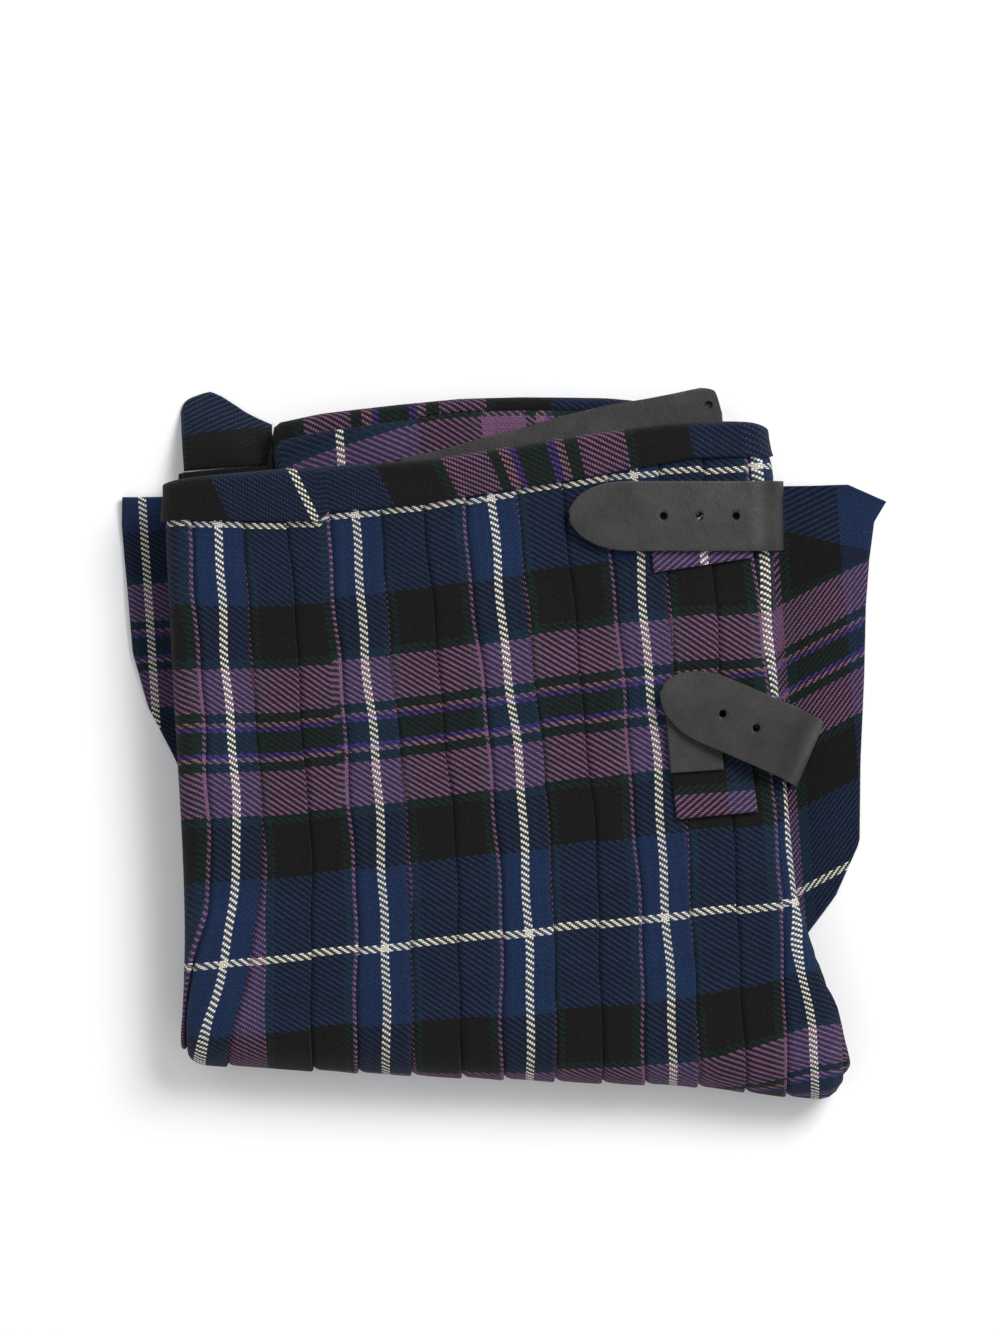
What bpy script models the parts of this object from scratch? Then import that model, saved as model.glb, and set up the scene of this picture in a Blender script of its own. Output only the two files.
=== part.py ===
"""A Scottish kilt folded for storage, lying on its over apron with the pleated back upwards.

The lower half is turned under at the bottom fold, so its hem shows behind the waistband.
+X runs along the waistband towards the wearer's right, +Y from the fold to the waist, +Z up.
Sizes are in millimetres until a mesh is made. Each cloth piece is a mid-surface grid with a
Solidify modifier; the hidden layers are one solid whose sides and ends show the layers' edges.
"""

import math
from collections import namedtuple

import bmesh
import bpy
from mathutils import Matrix

MM = 0.001

# Cloth and leather
CLOTH = 1.0  # wall of the pleated cloth
DOUBLED = 1.6  # wall of cloth that is turned double, as in the waistband
APRON_WALL = 2.0  # the apron with its turned side edges
HEM_WALL = 1.2
TAB_WALL = 1.2
STRAP_WALL = 2.6
CHAPE_WALL = 2.0
GAP = 0.3  # between pieces that lie on each other

# Bundle
HALF_STACK = 17.8  # thickness of each folded half
UNEVEN = 0.7  # soft waves in that thickness
THINNER_CORNER = 3.0  # and how much less it is at the flared front corner
BASE = APRON_WALL + GAP  # underside of the folded layers
SHOULDER = 7.0  # radius of the bundle's long edges
PLEAT_CLEAR = 0.9  # lowest face of the pleated cloth over the folded layers
LAYER = CLOTH + GAP
LOW = PLEAT_CLEAR + CLOTH / 2  # lift of a pleat's face where it comes out from under its neighbour
HIGH = LOW + 2 * LAYER  # and at its own fold
PLEATS_TOP = HIGH + CLOTH / 2
EDGE_INSET = PLEATS_TOP + GAP  # from the pleated cloth's outline to the folded layers
SIDE_CLEAR = 1.2
SLOT_HEIGHT = 5.2  # room under the waist end for the hem layer and the third strap
SLOT_DEPTH = 7.0

# Pleats: three widths repeat along the back
PLEAT_WIDTHS = (23.3, 21.0, 19.7)
FIRST_FOLD = -143.2
PLEATS = 15
LEANS = {0: 18.0, 1: 18.0, 2: 5.0, 3: 3.5, 4: 2.5}  # how far each leans out at the front
SMALL_LEAN = 1.5  # of the other pleats
LEAN_STARTS = -40  # y where the lean starts, and the length over which it grows
LEAN_LENGTH = 92
SWAY = 2.2  # how far the middle pleats bend to the side
PLEAT_TURN = 6.0  # how far a fold runs back under its pleat
FOLD_RADIUS = LAYER / 2
END_HANG = 5.0  # cloth past the bundle's edge at each end of the pleated length
OVER_THE_SIDE = (0, 1, PLEATS - 3, PLEATS - 2)  # pleats whose face bends over a long edge

# Straps
STRAP_WIDTH = 32.0
STRAP_POINT = 26.0  # length of the rounded end
NARROWEST = 2.0  # half width at its tip
HOLE_RADIUS = 1.7
FIRST_HOLE = 42.5  # from the rounded end
HIP_HOLES = (29.5, 46.0)
HOLE_PITCH = 16.5
HOLES = 3

Outline = namedtuple("Outline", "y left right")
BUNDLE_OUTLINE = (
    Outline(-170, -166.0, 134.5),
    Outline(-162, -166.0, 140.5),
    Outline(-156, -166.0, 142.5),
    Outline(-148, -165.6, 139.5),
    Outline(-135, -165.0, 138.5),
    Outline(-119, -163.0, 137.0),
    Outline(-101, -161.0, 128.5),
    Outline(-80, -159.5, 122.0),
    Outline(-40, -158.5, 121.0),
    Outline(15, -158.0, 121.0),
    Outline(60, -157.5, 122.5),
    Outline(104, -157.0, 124.0),
    Outline(114, -156.5, 126.5),
    Outline(122, -154.3, 124.5),
    Outline(142, -152.0, 121.5),
)

Edge = namedtuple("Edge", "x y")
# The pleats at the right edge draw in over its side towards the waist
DRAWN_IN_FROM = 13
DRAWN_IN = (Edge(-155, 0.0), Edge(-101, 5.6), Edge(60, 9.5))

FOLD_FRONT = (
    Edge(-162, -135.0),
    Edge(-110, -141.5),
    Edge(-20, -152.0),
    Edge(70, -161.5),
    Edge(122, -171.0),
    Edge(142, -172.4),
)
WAIST_TOP = (
    Edge(-152, 131.0),
    Edge(-142, 132.8),
    Edge(-107, 133.6),
    Edge(-45, 133.2),
    Edge(-25, 133.8),
    Edge(-7, 135.5),
    Edge(14, 137.5),
    Edge(36, 139.5),
    Edge(54, 140.7),
    Edge(75, 142.3),
    Edge(93, 142.2),
    Edge(113, 140.8),
    Edge(118, 139.0),
    Edge(122, 135.0),
)
BAND_LOW = (
    Edge(-160, 113.5),
    Edge(-84, 107.0),
    Edge(-80, 111.5),
    Edge(-38, 111.8),
    Edge(-3, 117.5),
    Edge(125, 117.5),
)
HEM_END = (
    Edge(-152, 137.5),
    Edge(-106.4, 138.0),
    Edge(-103.4, 155.6),
    Edge(-92, 157.2),
    Edge(-81, 158.8),
    Edge(-44, 160.6),
    Edge(-16, 161.3),
    Edge(12, 160.2),
    Edge(30, 158.8),
    Edge(52, 156.9),
    Edge(70, 154.0),
    Edge(101, 150.0),
    Edge(106, 140.0),
    Edge(121, 137.0),
)

# Edges of the hidden layers: depth from the outer face as a part of the half stack, and how far
# in each lies. The pair at the slot's ceiling is one line everywhere but at the waist end.
SLOT_PART = 1 - SLOT_HEIGHT / HALF_STACK
LayerEdge = namedtuple("LayerEdge", "depth inset in_slot")
LAYER_EDGES = (
    LayerEdge(0.00, 7.5, False),
    LayerEdge(0.04, 3.8, False),
    LayerEdge(0.12, 1.5, False),
    LayerEdge(0.22, 0.4, False),
    LayerEdge(0.28, 2.4, False),
    LayerEdge(0.34, 0.4, False),
    LayerEdge(0.46, 0.3, False),
    LayerEdge(0.54, 1.9, False),
    LayerEdge(0.60, -1.6, False),
    LayerEdge(0.66, -2.0, False),
    LayerEdge(SLOT_PART, 1.2, False),
    LayerEdge(SLOT_PART, 1.2, True),
    LayerEdge(0.78, -1.9, True),
    LayerEdge(0.93, -1.3, True),
    LayerEdge(1.00, 3.2, True),
)

LAYER_COLUMNS = (-130, -107.2, -102.6, -78, -52, -26, 0, 26, 52, 78, 98, 107, 121)  # x of the points

MIDDLE = (0.83, 2.87)  # x and y of the bundle's middle, moved to the origin at the end

Panel = namedtuple("Panel", "left_x left_y right_x right_y")
OVER_APRON = (
    Panel(-176.0, 130.0, 161.5, 112.3),
    Panel(-177.2, 117.0, 178.9, 103.4),
    Panel(-176.9, 101.0, 172.5, 94.5),
    Panel(-176.2, 80.0, 169.0, 78.0),
    Panel(-175.8, 57.0, 163.3, 56.4),
    Panel(-170.5, 32.0, 161.3, 22.8),
    Panel(-160.0, 8.0, 159.3, -16.2),
    Panel(-150.0, -20.0, 159.3, -54.0),
    Panel(-143.0, -60.0, 141.5, -78.0),
    Panel(-139.0, -92.0, 119.0, -104.0),
    Panel(-135.0, -112.0, 106.0, -132.0),
)

CORNER_STEP = 3.5  # longest stretch of it made straight
REAR_CORNER = (
    Edge(-145.8, 167.0),
    Edge(-145.0, 170.5),
    Edge(-143.5, 172.8),
    Edge(-141.3, 174.1),
    Edge(-135.2, 175.9),
    Edge(-131.9, 176.4),
    Edge(-127.2, 173.9),
    Edge(-121.6, 169.7),
    Edge(-116.5, 165.6),
    Edge(-110.7, 162.1),
)
THIRD_STEP = 8.0
THIRD_HOLE = (98.5, 151.3)
THIRD_STRAP = (
    Edge(-46.0, 136.6),
    Edge(-25.0, 139.6),
    Edge(-6.2, 143.4),
    Edge(10.7, 146.4),
    Edge(29.6, 151.0),
    Edge(52.1, 154.8),
    Edge(69.8, 156.3),
    Edge(82.0, 157.8),
    Edge(91.7, 159.2),
    Edge(95.5, 159.7),
    Edge(99.8, 158.8),
    Edge(102.3, 157.4),
    Edge(103.2, 152.0),
    Edge(104.2, 146.0),
)


def smooth(part):
    """0 below 0, 1 above 1, with a soft start and end."""
    part = min(max(part, 0.0), 1.0)
    return part * part * (3 - 2 * part)


def read(rows, at, column="y"):
    """A table's column at a place in its first column, straight between rows."""
    if at <= rows[0][0]:
        return getattr(rows[0], column)
    for low, high in zip(rows, rows[1:]):
        if at <= high[0]:
            part = (at - low[0]) / (high[0] - low[0])
            return getattr(low, column) * (1 - part) + getattr(high, column) * part
    return getattr(rows[-1], column)


def places_along(rows, step):
    """The x of each of a table's rows, and of places between them no further apart than step."""
    places = [rows[0].x]
    for low, high in zip(rows, rows[1:]):
        count = math.ceil((high.x - low.x) / step)
        places += [low.x + (high.x - low.x) * i / count for i in range(1, count + 1)]
    return places


# The bundle's own form

# Where the surfaces have rows of points, in bundle_path's t
UPPER_STATIONS = (0, 0.17, 0.36, 0.55, 0.72, 0.86, 1)
FOLD_STATIONS = (1.12, 1.24, 1.37, 1.5, 1.63, 1.76, 1.88)
PLEATS_END = 1.76
LOWER_STATIONS = tuple(3 - t for t in reversed(UPPER_STATIONS))
PLEATS_START = -0.6


def half_stack(x, y):
    """Thickness of each folded half: softly uneven, and thinner at the flared front corner."""
    waves = UNEVEN * math.sin(x / 46 + 0.6) * math.cos(y / 58 - 0.4)
    corner = THINNER_CORNER * smooth((x - 60) / 90) * smooth((-80 - y) / 80)
    return HALF_STACK + waves - corner


def waist_end(x):
    return read(WAIST_TOP, x) - DOUBLED - 0.8


def slot_end(x):
    return waist_end(x) - SLOT_DEPTH


def turn_line(x):
    """Where the bottom fold starts to turn."""
    front = read(FOLD_FRONT, x)
    return front + half_stack(x, front + 20) + PLEATS_TOP


def bundle_path(x, t):
    """Along the folded layers at width x: -1 waist end, 0 slot, 1 to 2 bottom fold, 3 slot, 4 hem.

    Returns y and z of the outer face, y and z of its normal, and the half stack there.
    """
    turn = turn_line(x)
    if 1 < t < 2:
        angle = math.pi * (1.5 - t)
        half = half_stack(x, turn)
        y, z = -math.cos(angle), math.sin(angle)
        return turn + half * y, BASE + half + half * z, y, z, half
    stops = {-1: waist_end(x), 0: slot_end(x), 1: turn, 2: turn, 3: slot_end(x), 4: read(HEM_END, x)}
    start = min(math.floor(t), 3)
    y = stops[start] + (stops[start + 1] - stops[start]) * (t - start)
    half = half_stack(x, y)
    if t <= 1:
        return y, BASE + 2 * half, 0, 1, half
    return y, BASE, 0, -1, half


def place(x, y):
    """The path's t on the upper half at x and y."""
    slot, turn = slot_end(x), turn_line(x)
    if y > slot:
        return (slot - y) / SLOT_DEPTH
    return (slot - y) / (slot - turn)


def on_bundle(q, t, lift):
    """A point lifted off the folded layers. Past the long edges q goes on down the sides."""
    y = bundle_path(q, t)[0]
    left = read(BUNDLE_OUTLINE, y, "left") + EDGE_INSET + SHOULDER
    right = read(BUNDLE_OUTLINE, y, "right") - EDGE_INSET - SHOULDER
    past = max(left - q, q - right, 0)
    side = 1 if q > right else -1
    angle = min(past / SHOULDER, math.pi / 2)
    sink = SHOULDER * (1 - math.cos(angle)) + max(past - SHOULDER * math.pi / 2, 0)
    x = min(max(q, left), right) + side * SHOULDER * math.sin(angle)
    y, z, normal_y, normal_z, _ = bundle_path(x, t)
    out = lift * math.cos(angle) - sink
    return x + side * lift * math.sin(angle), y + normal_y * out, z + normal_z * out


def middle_height(x, y):
    """Top of the lower half, where it shows behind the waistband."""
    return BASE + half_stack(x, y)


# Meshes


def material(name, colour, roughness):
    made = bpy.data.materials.new(name)
    made.use_nodes = True
    shader = made.node_tree.nodes["Principled BSDF"]
    shader.inputs["Base Color"].default_value = (*colour, 1)
    shader.inputs["Roughness"].default_value = roughness
    shader.inputs["Metallic"].default_value = 0
    return made


def new_object(name, mesh, colour, roughness):
    mesh.materials.append(material(name, colour, roughness))
    obj = bpy.data.objects.new(name, mesh)
    bpy.context.scene.collection.objects.link(obj)
    return obj


def add_grid(bm, rows):
    """Faces over rows of points of the same length."""
    corners = [[bm.verts.new([c * MM for c in point]) for point in row] for row in rows]
    for low, high in zip(corners, corners[1:]):
        for i in range(len(low) - 1):
            bm.faces.new((low[i], low[i + 1], high[i + 1], high[i]))


def grid_mesh(name, grids, weld=0.0):
    bm = bmesh.new()
    for rows in grids:
        add_grid(bm, rows)
    if weld:
        bmesh.ops.remove_doubles(bm, verts=bm.verts, dist=weld)
    bmesh.ops.recalc_face_normals(bm, faces=bm.faces)
    mesh = bpy.data.meshes.new(name)
    bm.to_mesh(mesh)
    bm.free()
    mesh.shade_smooth()
    mesh.set_sharp_from_angle(angle=math.radians(50))
    return mesh


def wall(name, rows, thickness, colour, roughness=0.9):
    """A cloth or leather wall of even thickness about a grid of points."""
    obj = new_object(name, grid_mesh(name, [rows]), colour, roughness)
    solidify = obj.modifiers.new("Thickness", "SOLIDIFY")
    solidify.thickness = thickness * MM
    solidify.offset = 0
    solidify.use_even_offset = True
    return obj


NAVY = (0.012, 0.03, 0.10)
PURPLE = (0.10, 0.05, 0.14)
BLACK_CLOTH = (0.012, 0.012, 0.014)
BLACK_LEATHER = (0.015, 0.014, 0.014)
LEATHER_ROUGHNESS = 0.5


# Hidden layers


def layer_edge_x(t, edge, side):
    """x of a layer's edge on the left (-1) or right (1) side."""
    column = "right" if side > 0 else "left"
    outline = read(BUNDLE_OUTLINE, 0, column)
    for _ in range(3):
        y = bundle_path(outline, t)[0]
        outline = read(BUNDLE_OUTLINE, y, column)
    return outline - side * (EDGE_INSET + SIDE_CLEAR + edge.inset)


def layer_point(t, edge, column):
    """A point of the hidden layers in one of the columns, counted from the left side."""
    if t < 0 and edge.in_slot:
        t = 0
    left, right = layer_edge_x(t, edge, -1), layer_edge_x(t, edge, 1)
    if column == 0:
        x = left
    elif column > len(LAYER_COLUMNS):
        x = right
    else:
        from_right = len(LAYER_COLUMNS) + 1 - column
        x = min(max(LAYER_COLUMNS[column - 1], left + column), right - from_right)
    y, z, normal_y, normal_z, half = bundle_path(x, t)
    depth = edge.depth * half
    at_end = t in (-1, 4)
    end_inset = max(edge.inset, 0) * 0.6 if at_end else 0
    return x, y - normal_y * depth - end_inset, z - normal_z * depth


def make_folded_layers():
    columns = range(len(LAYER_COLUMNS) + 2)
    first, last = -1, 4
    stations = (first, PLEATS_START, *UPPER_STATIONS, *FOLD_STATIONS, *LOWER_STATIONS, 3.5, last)
    outer, middle = LAYER_EDGES[0], LAYER_EDGES[-1]
    around = []
    for t in stations:
        left = [layer_point(t, edge, columns[0]) for edge in reversed(LAYER_EDGES)]
        top = [layer_point(t, outer, column) for column in columns[1:-1]]
        right = [layer_point(t, edge, columns[-1]) for edge in LAYER_EDGES]
        around.append(left + top + right)
    ends = [
        [[layer_point(t, edge, column) for column in columns] for edge in LAYER_EDGES]
        for t in (first, last)
    ]
    shelf = [[layer_point(t, middle, column) for column in columns] for t in (3, 3.5, last)]
    mesh = grid_mesh("folded_layers", [around, *ends, shelf], weld=1e-6)
    new_object("folded_layers", mesh, BLACK_CLOTH, 0.95)


# Pleated back


def fold_line(k, y):
    """Where pleat k folds back at distance y. The first pleats lean out at the front corner."""
    cycle = sum(PLEAT_WIDTHS)
    base = FIRST_FOLD + (k // 3) * cycle + sum(PLEAT_WIDTHS[: k % 3])
    lean = min(max((LEAN_STARTS - y) / LEAN_LENGTH, 0.0), 1.2) ** 1.6
    near_middle = math.exp(-(((base + 5) / 60) ** 2))
    drawn_in = read(DRAWN_IN, y) if k >= DRAWN_IN_FROM else 0
    sway = SWAY * near_middle * math.cos((y + 45) / 52)
    return base - LEANS.get(k, SMALL_LEAN) * lean + sway - drawn_in


def pleat_section(y):
    """(q, lift) of the cloth's middle across the whole back."""
    start = read(BUNDLE_OUTLINE, y, "left") + EDGE_INSET - END_HANG
    end = read(BUNDLE_OUTLINE, y, "right") - EDGE_INSET + END_HANG
    section = [(start, LOW)]
    left = start
    for k in range(PLEATS - 1):
        spare = (PLEATS - 1 - k) * 1.2
        fold = min(max(fold_line(k, y), start + 4.5), end - 8.0 - spare)
        fold = max(fold, left + 1.2)
        turn = min(PLEAT_TURN, (fold - left) * 0.45)
        if k in OVER_THE_SIDE:
            section += rounded(section[-1], (fold - turn - 1.0, HIGH - 0.1))
        section += [
            (fold - turn - 1.0, HIGH - 0.1),
            (fold - FOLD_RADIUS, HIGH),
            (fold, HIGH - FOLD_RADIUS),
            (fold - FOLD_RADIUS, HIGH - LAYER),
            (fold - turn, HIGH - LAYER),
            (fold - turn - FOLD_RADIUS, HIGH - 1.5 * LAYER),
            (fold - turn, LOW),
            (fold + 0.2, LOW),
        ]
        left = fold
    section += rounded(section[-1], (end, HIGH))
    section.append((end, HIGH))
    return section


def rounded(start, end):
    """Three places between two, for cloth that goes over the bundle's long edge."""
    return [
        (start[0] + (end[0] - start[0]) * part, start[1] + (end[1] - start[1]) * part)
        for part in (0.25, 0.5, 0.75)
    ]


def make_pleated_back():
    rows = []
    for t in (PLEATS_START, *UPPER_STATIONS, *FOLD_STATIONS):
        if t > PLEATS_END:
            break
        y = bundle_path(0, t)[0]
        rows.append([on_bundle(q, t, lift) for q, lift in pleat_section(y)])
    wall("pleated_back", rows, CLOTH, NAVY)


# Waistband and what shows behind it


def make_waistband():
    lift = PLEATS_TOP + GAP + DOUBLED / 2
    turn = 4.2
    start = read(BUNDLE_OUTLINE, 125, "left") + EDGE_INSET - 4.5
    end = read(BUNDLE_OUTLINE, 125, "right") - EDGE_INSET + 4.5
    edge = (0, 2, 4, 6, 8, 10, 12.5, 15)
    flat = [start + 15 + (end - start - 30) * i / 34 for i in range(1, 34)]
    rows = []
    for q in [start + d for d in edge] + flat + [end - d for d in reversed(edge)]:
        low, top = read(BAND_LOW, q), read(WAIST_TOP, q) - DOUBLED / 2 - turn
        row = [on_bundle(q, place(q, low + (top - low) * part), lift) for part in (0, 0.25, 0.5, 0.75, 1)]
        foot = middle_height(q, top) + SLOT_HEIGHT + GAP + 0.3
        x, y, z = row[-1]
        row += [
            (x, y + turn * math.sin(a), z - turn * (1 - math.cos(a)))
            for a in (math.pi / 6, math.pi / 3, math.pi / 2)
        ]
        row.append((x, y + turn, min(foot, z - turn - 1.0)))
        rows.append(row)
    wall("waistband", rows, DOUBLED, NAVY)


def make_hem_layer():
    """Lies on the lower half and hangs a little over its end."""
    turn, hang = 3.0, 4.0
    steps = 26
    first, last = -103.4, 96.5
    rows = []
    for i in range(steps + 1):
        x = first + (last - first) * i / steps
        inner, outer = slot_end(x) + 1.5, read(HEM_END, x) + 2 * GAP + HEM_WALL / 2
        row = []
        for part in (0, 0.5, 1):
            y = inner + (outer - turn - inner) * part
            row.append((x, y, middle_height(x, y) + GAP + HEM_WALL / 2))
        _, y, z = row[-1]
        row += [
            (x, y + turn * math.sin(a), z - turn * (1 - math.cos(a)))
            for a in (math.pi / 6, math.pi / 3, math.pi / 2)
        ]
        row.append((x, outer + 0.2, z - turn - hang))
        rows.append(row)
    wall("hem_layer", rows, HEM_WALL, PURPLE)


def make_under_apron():
    """The corner that stands out behind the bundle, sloping from its end down to the surface."""
    down = 6
    inner_y, inner_z, outer_z = 139.0, 13.5, 1.0
    curl = 3.0
    first, last = REAR_CORNER[0].x, REAR_CORNER[-1].x
    rows = []
    for x in places_along(REAR_CORNER, CORNER_STEP):
        outer = read(REAR_CORNER, x)
        arch = curl * math.sin(math.pi * (x - first) / (last - first))
        row = []
        for j in range(down + 1):
            part = j / down
            z = outer_z + (inner_z + arch - outer_z) * (1 - part**1.5)
            row.append((x, inner_y + (outer - inner_y) * part, z))
        rows.append(row)
    wall("under_apron", rows, DOUBLED, NAVY)


def make_over_apron():
    """Lies flat under everything. Its free side edges lift a little off the surface."""
    across = (0, 0.03, 0.06, 0.12, 0.3, 0.5, 0.7, 0.85, 0.9, 0.93, 0.965, 1)
    lift_at = {0: 2.2, 1: 0.7, 9: 0.2, 10: 0.8, 11: 1.8}
    rows = []
    for i, panel in enumerate(OVER_APRON):
        row = []
        for j, part in enumerate(across):
            x = panel.left_x + (panel.right_x - panel.left_x) * part
            y = panel.left_y + (panel.right_y - panel.left_y) * part
            wave = 0.55 + 0.45 * math.cos(1.9 * i + 0.6 * j)
            fade = 1 - smooth((i - 4) / 2)
            row.append((x, y, APRON_WALL / 2 + lift_at.get(j, 0) * wave * fade))
        rows.append(row)
    wall("over_apron", rows, APRON_WALL, NAVY)


# Straps and tabs


def strap_half_width(distance):
    """Half the strap's width at a distance from its rounded end."""
    part = min(max(distance / STRAP_POINT, 0.0), 1.0)
    return max(STRAP_WIDTH / 2 * math.sqrt(part * (2 - part)), NARROWEST)


ACROSS_STRAP = (-1, -0.5, 0, 0.5, 1)


def punch(strap, centres):
    """Prong holes right through the strap."""
    for i, centre in enumerate(centres):
        mesh = bpy.data.meshes.new(f"{strap.name}_hole_{i}")
        bm = bmesh.new()
        bmesh.ops.create_cone(
            bm, cap_ends=True, segments=12, radius1=HOLE_RADIUS * MM, radius2=HOLE_RADIUS * MM, depth=8 * MM
        )
        bm.to_mesh(mesh)
        bm.free()
        cutter = bpy.data.objects.new(mesh.name, mesh)
        bpy.context.scene.collection.objects.link(cutter)
        cutter.location = [c * MM for c in centre]
        cutter.hide_render = True
        cutter.display_type = "WIRE"
        cut = strap.modifiers.new(mesh.name, "BOOLEAN")
        cut.operation = "DIFFERENCE"
        cut.object = cutter


def make_waist_strap():
    """Comes up the bundle's right side and over the top, its rounded end to the left."""
    lift = PLEATS_TOP + GAP + TAB_WALL + 1.0 + STRAP_WALL / 2
    tip, slope, y_at_tip = 30.4, -0.068, 101.8
    on_top = (0, 0.7, 2, 4, 7, 11, 16, 21, 26, 38, 50, 62, 74, 80)
    over_side = (83, 86, 89, 92, 102, 113)

    def middle_y(q):
        return y_at_tip + slope * (min(q, 125) - tip)

    rows = []
    for distance in on_top + over_side:
        q = tip + distance
        half = strap_half_width(distance)
        row = []
        for across in ACROSS_STRAP:
            y = middle_y(q) + half * across
            row.append(on_bundle(q, place(q, y), lift))
        rows.append(row)
    strap = wall("strap_waist", rows, STRAP_WALL, BLACK_LEATHER, LEATHER_ROUGHNESS)
    centres = []
    for i in range(HOLES):
        q = tip + FIRST_HOLE + HOLE_PITCH * i
        centres.append(on_bundle(q, place(q, middle_y(q)), lift))
    punch(strap, centres)


StrapPlace = namedtuple("StrapPlace", "along height")
HIP_STRAP = (
    StrapPlace(0, 49.3),
    StrapPlace(2, 49.3),
    StrapPlace(6, 49.3),
    StrapPlace(14, 49.4),
    StrapPlace(26, 50.4),
    StrapPlace(40, 52.0),
    StrapPlace(54, 52.2),
    StrapPlace(64, 49.4),
    StrapPlace(70, 43.0),
    StrapPlace(72.5, 33.0),
    StrapPlace(73.0, 22.0),
    StrapPlace(72.5, 12.0),
    StrapPlace(71.5, 5.0),
)


def curve_through(places, steps):
    """Points on a smooth curve through the places, steps to each stretch."""
    made = []
    last = len(places) - 1
    for i in range(last):
        before, a = places[max(i - 1, 0)], places[i]
        b, after = places[i + 1], places[min(i + 2, last)]
        for j in range(steps + (i == last - 1)):
            u = j / steps
            made.append(
                [
                    0.5 * (2 * q + (r - p) * u + (2 * p - 5 * q + 4 * r - s) * u**2
                           + (3 * q - p - 3 * r + s) * u**3)
                    for p, q, r, s in zip(before, a, b, after)
                ]
            )
    return made


def make_hip_strap():
    """Bowed up off the pleats, over the right side and down to just above the over apron."""
    tip_x, tip_y, heading = 66.8, 20.2, math.radians(-27.5)
    ahead = (math.cos(heading), math.sin(heading))
    beside = (-math.sin(heading), math.cos(heading))
    length, travelled = 0.0, []
    path = curve_through(HIP_STRAP, 2)
    for i, point in enumerate(path):
        if i:
            length += math.dist(point, path[i - 1])
        travelled.append(length)
    rows = []
    for (along, height), distance in zip(path, travelled):
        half = strap_half_width(distance)
        rows.append(
            [
                (
                    tip_x + along * ahead[0] + half * across * beside[0],
                    tip_y + along * ahead[1] + half * across * beside[1],
                    height,
                )
                for across in ACROSS_STRAP
            ]
        )
    strap = wall("strap_hip", rows, STRAP_WALL, BLACK_LEATHER, LEATHER_ROUGHNESS)
    punch(strap, [(tip_x + along * ahead[0], tip_y + along * ahead[1], 52.0) for along in HIP_HOLES])


def make_third_strap():
    """Lies on the hem layer, its near edge under the waistband."""
    wall_here = STRAP_WALL - 0.3
    rows = []
    for x in places_along(THIRD_STRAP, THIRD_STEP):
        inner, outer = slot_end(x) + 1.5, read(THIRD_STRAP, x)
        row = []
        for part in (0, 0.4, 0.75, 1):
            y = inner + (outer - inner) * part
            row.append((x, y, middle_height(x, y) + 2 * GAP + HEM_WALL + wall_here / 2))
        rows.append(row)
    strap = wall("strap_third", rows, wall_here, BLACK_LEATHER, LEATHER_ROUGHNESS)
    punch(strap, [(*THIRD_HOLE, middle_height(*THIRD_HOLE) + 3)])


def make_tab(name, corners, lift, thickness, colour, roughness=0.9):
    """A small four-sided piece on the pleats. corners go round from the lower left."""
    steps = 6
    (lower_left, lower_right, upper_right, upper_left) = corners
    rows = []
    for i in range(steps + 1):
        row = []
        for j in range(steps + 1):
            u, v = i / steps, j / steps
            x, y = (
                lower_left[c] * (1 - u) * (1 - v)
                + lower_right[c] * u * (1 - v)
                + upper_right[c] * u * v
                + upper_left[c] * (1 - u) * v
                for c in (0, 1)
            )
            row.append(on_bundle(x, place(x, y), lift + thickness / 2))
        rows.append(row)
    wall(name, rows, thickness, colour, roughness)


def make_tabs():
    on_pleats = PLEATS_TOP + 2 * GAP
    waist_corners = ((66.5, 73.6), (112.0, 77.4), (110.0, 109.0), (66.5, 112.0))
    hip_corners = ((69.0, -39.5), (106.0, -38.5), (104.0, -1.0), (67.5, 2.0))
    chape_corners = ((67.6, -18.5), (92.0, -18.5), (92.0, 9.0), (67.2, 12.0))
    make_tab("tab_waist", waist_corners, on_pleats, TAB_WALL, PURPLE)
    make_tab("tab_hip", hip_corners, on_pleats, TAB_WALL, PURPLE)
    above_tab = on_pleats + TAB_WALL + GAP
    make_tab("chape_hip", chape_corners, above_tab, CHAPE_WALL, BLACK_LEATHER, LEATHER_ROUGHNESS)


def main():
    for obj in list(bpy.data.objects):
        bpy.data.objects.remove(obj)
    make_over_apron()
    make_folded_layers()
    make_pleated_back()
    make_waistband()
    make_hem_layer()
    make_under_apron()
    make_waist_strap()
    make_hip_strap()
    make_third_strap()
    make_tabs()
    to_centre = Matrix.Translation([-place_here * MM for place_here in (*MIDDLE, 0)])
    for obj in bpy.data.objects:
        obj.data.transform(to_centre)


main()
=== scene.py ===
"""A Scottish kilt folded into a flat bundle, pleated back up, seen from above.

Lengths are in millimetres until a mesh is made. The frame's +X runs along the waistband, +Y from
the bottom fold to the waist and +Z up. Every tartan piece carries a "cloth" attribute: how far a
point lies across the warp and along it, counted from a white stripe, and which way its twill runs.
"""

import math
from collections import namedtuple
from functools import partial

import bmesh
import bpy
import numpy as np
from mathutils import Matrix, Vector


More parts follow.
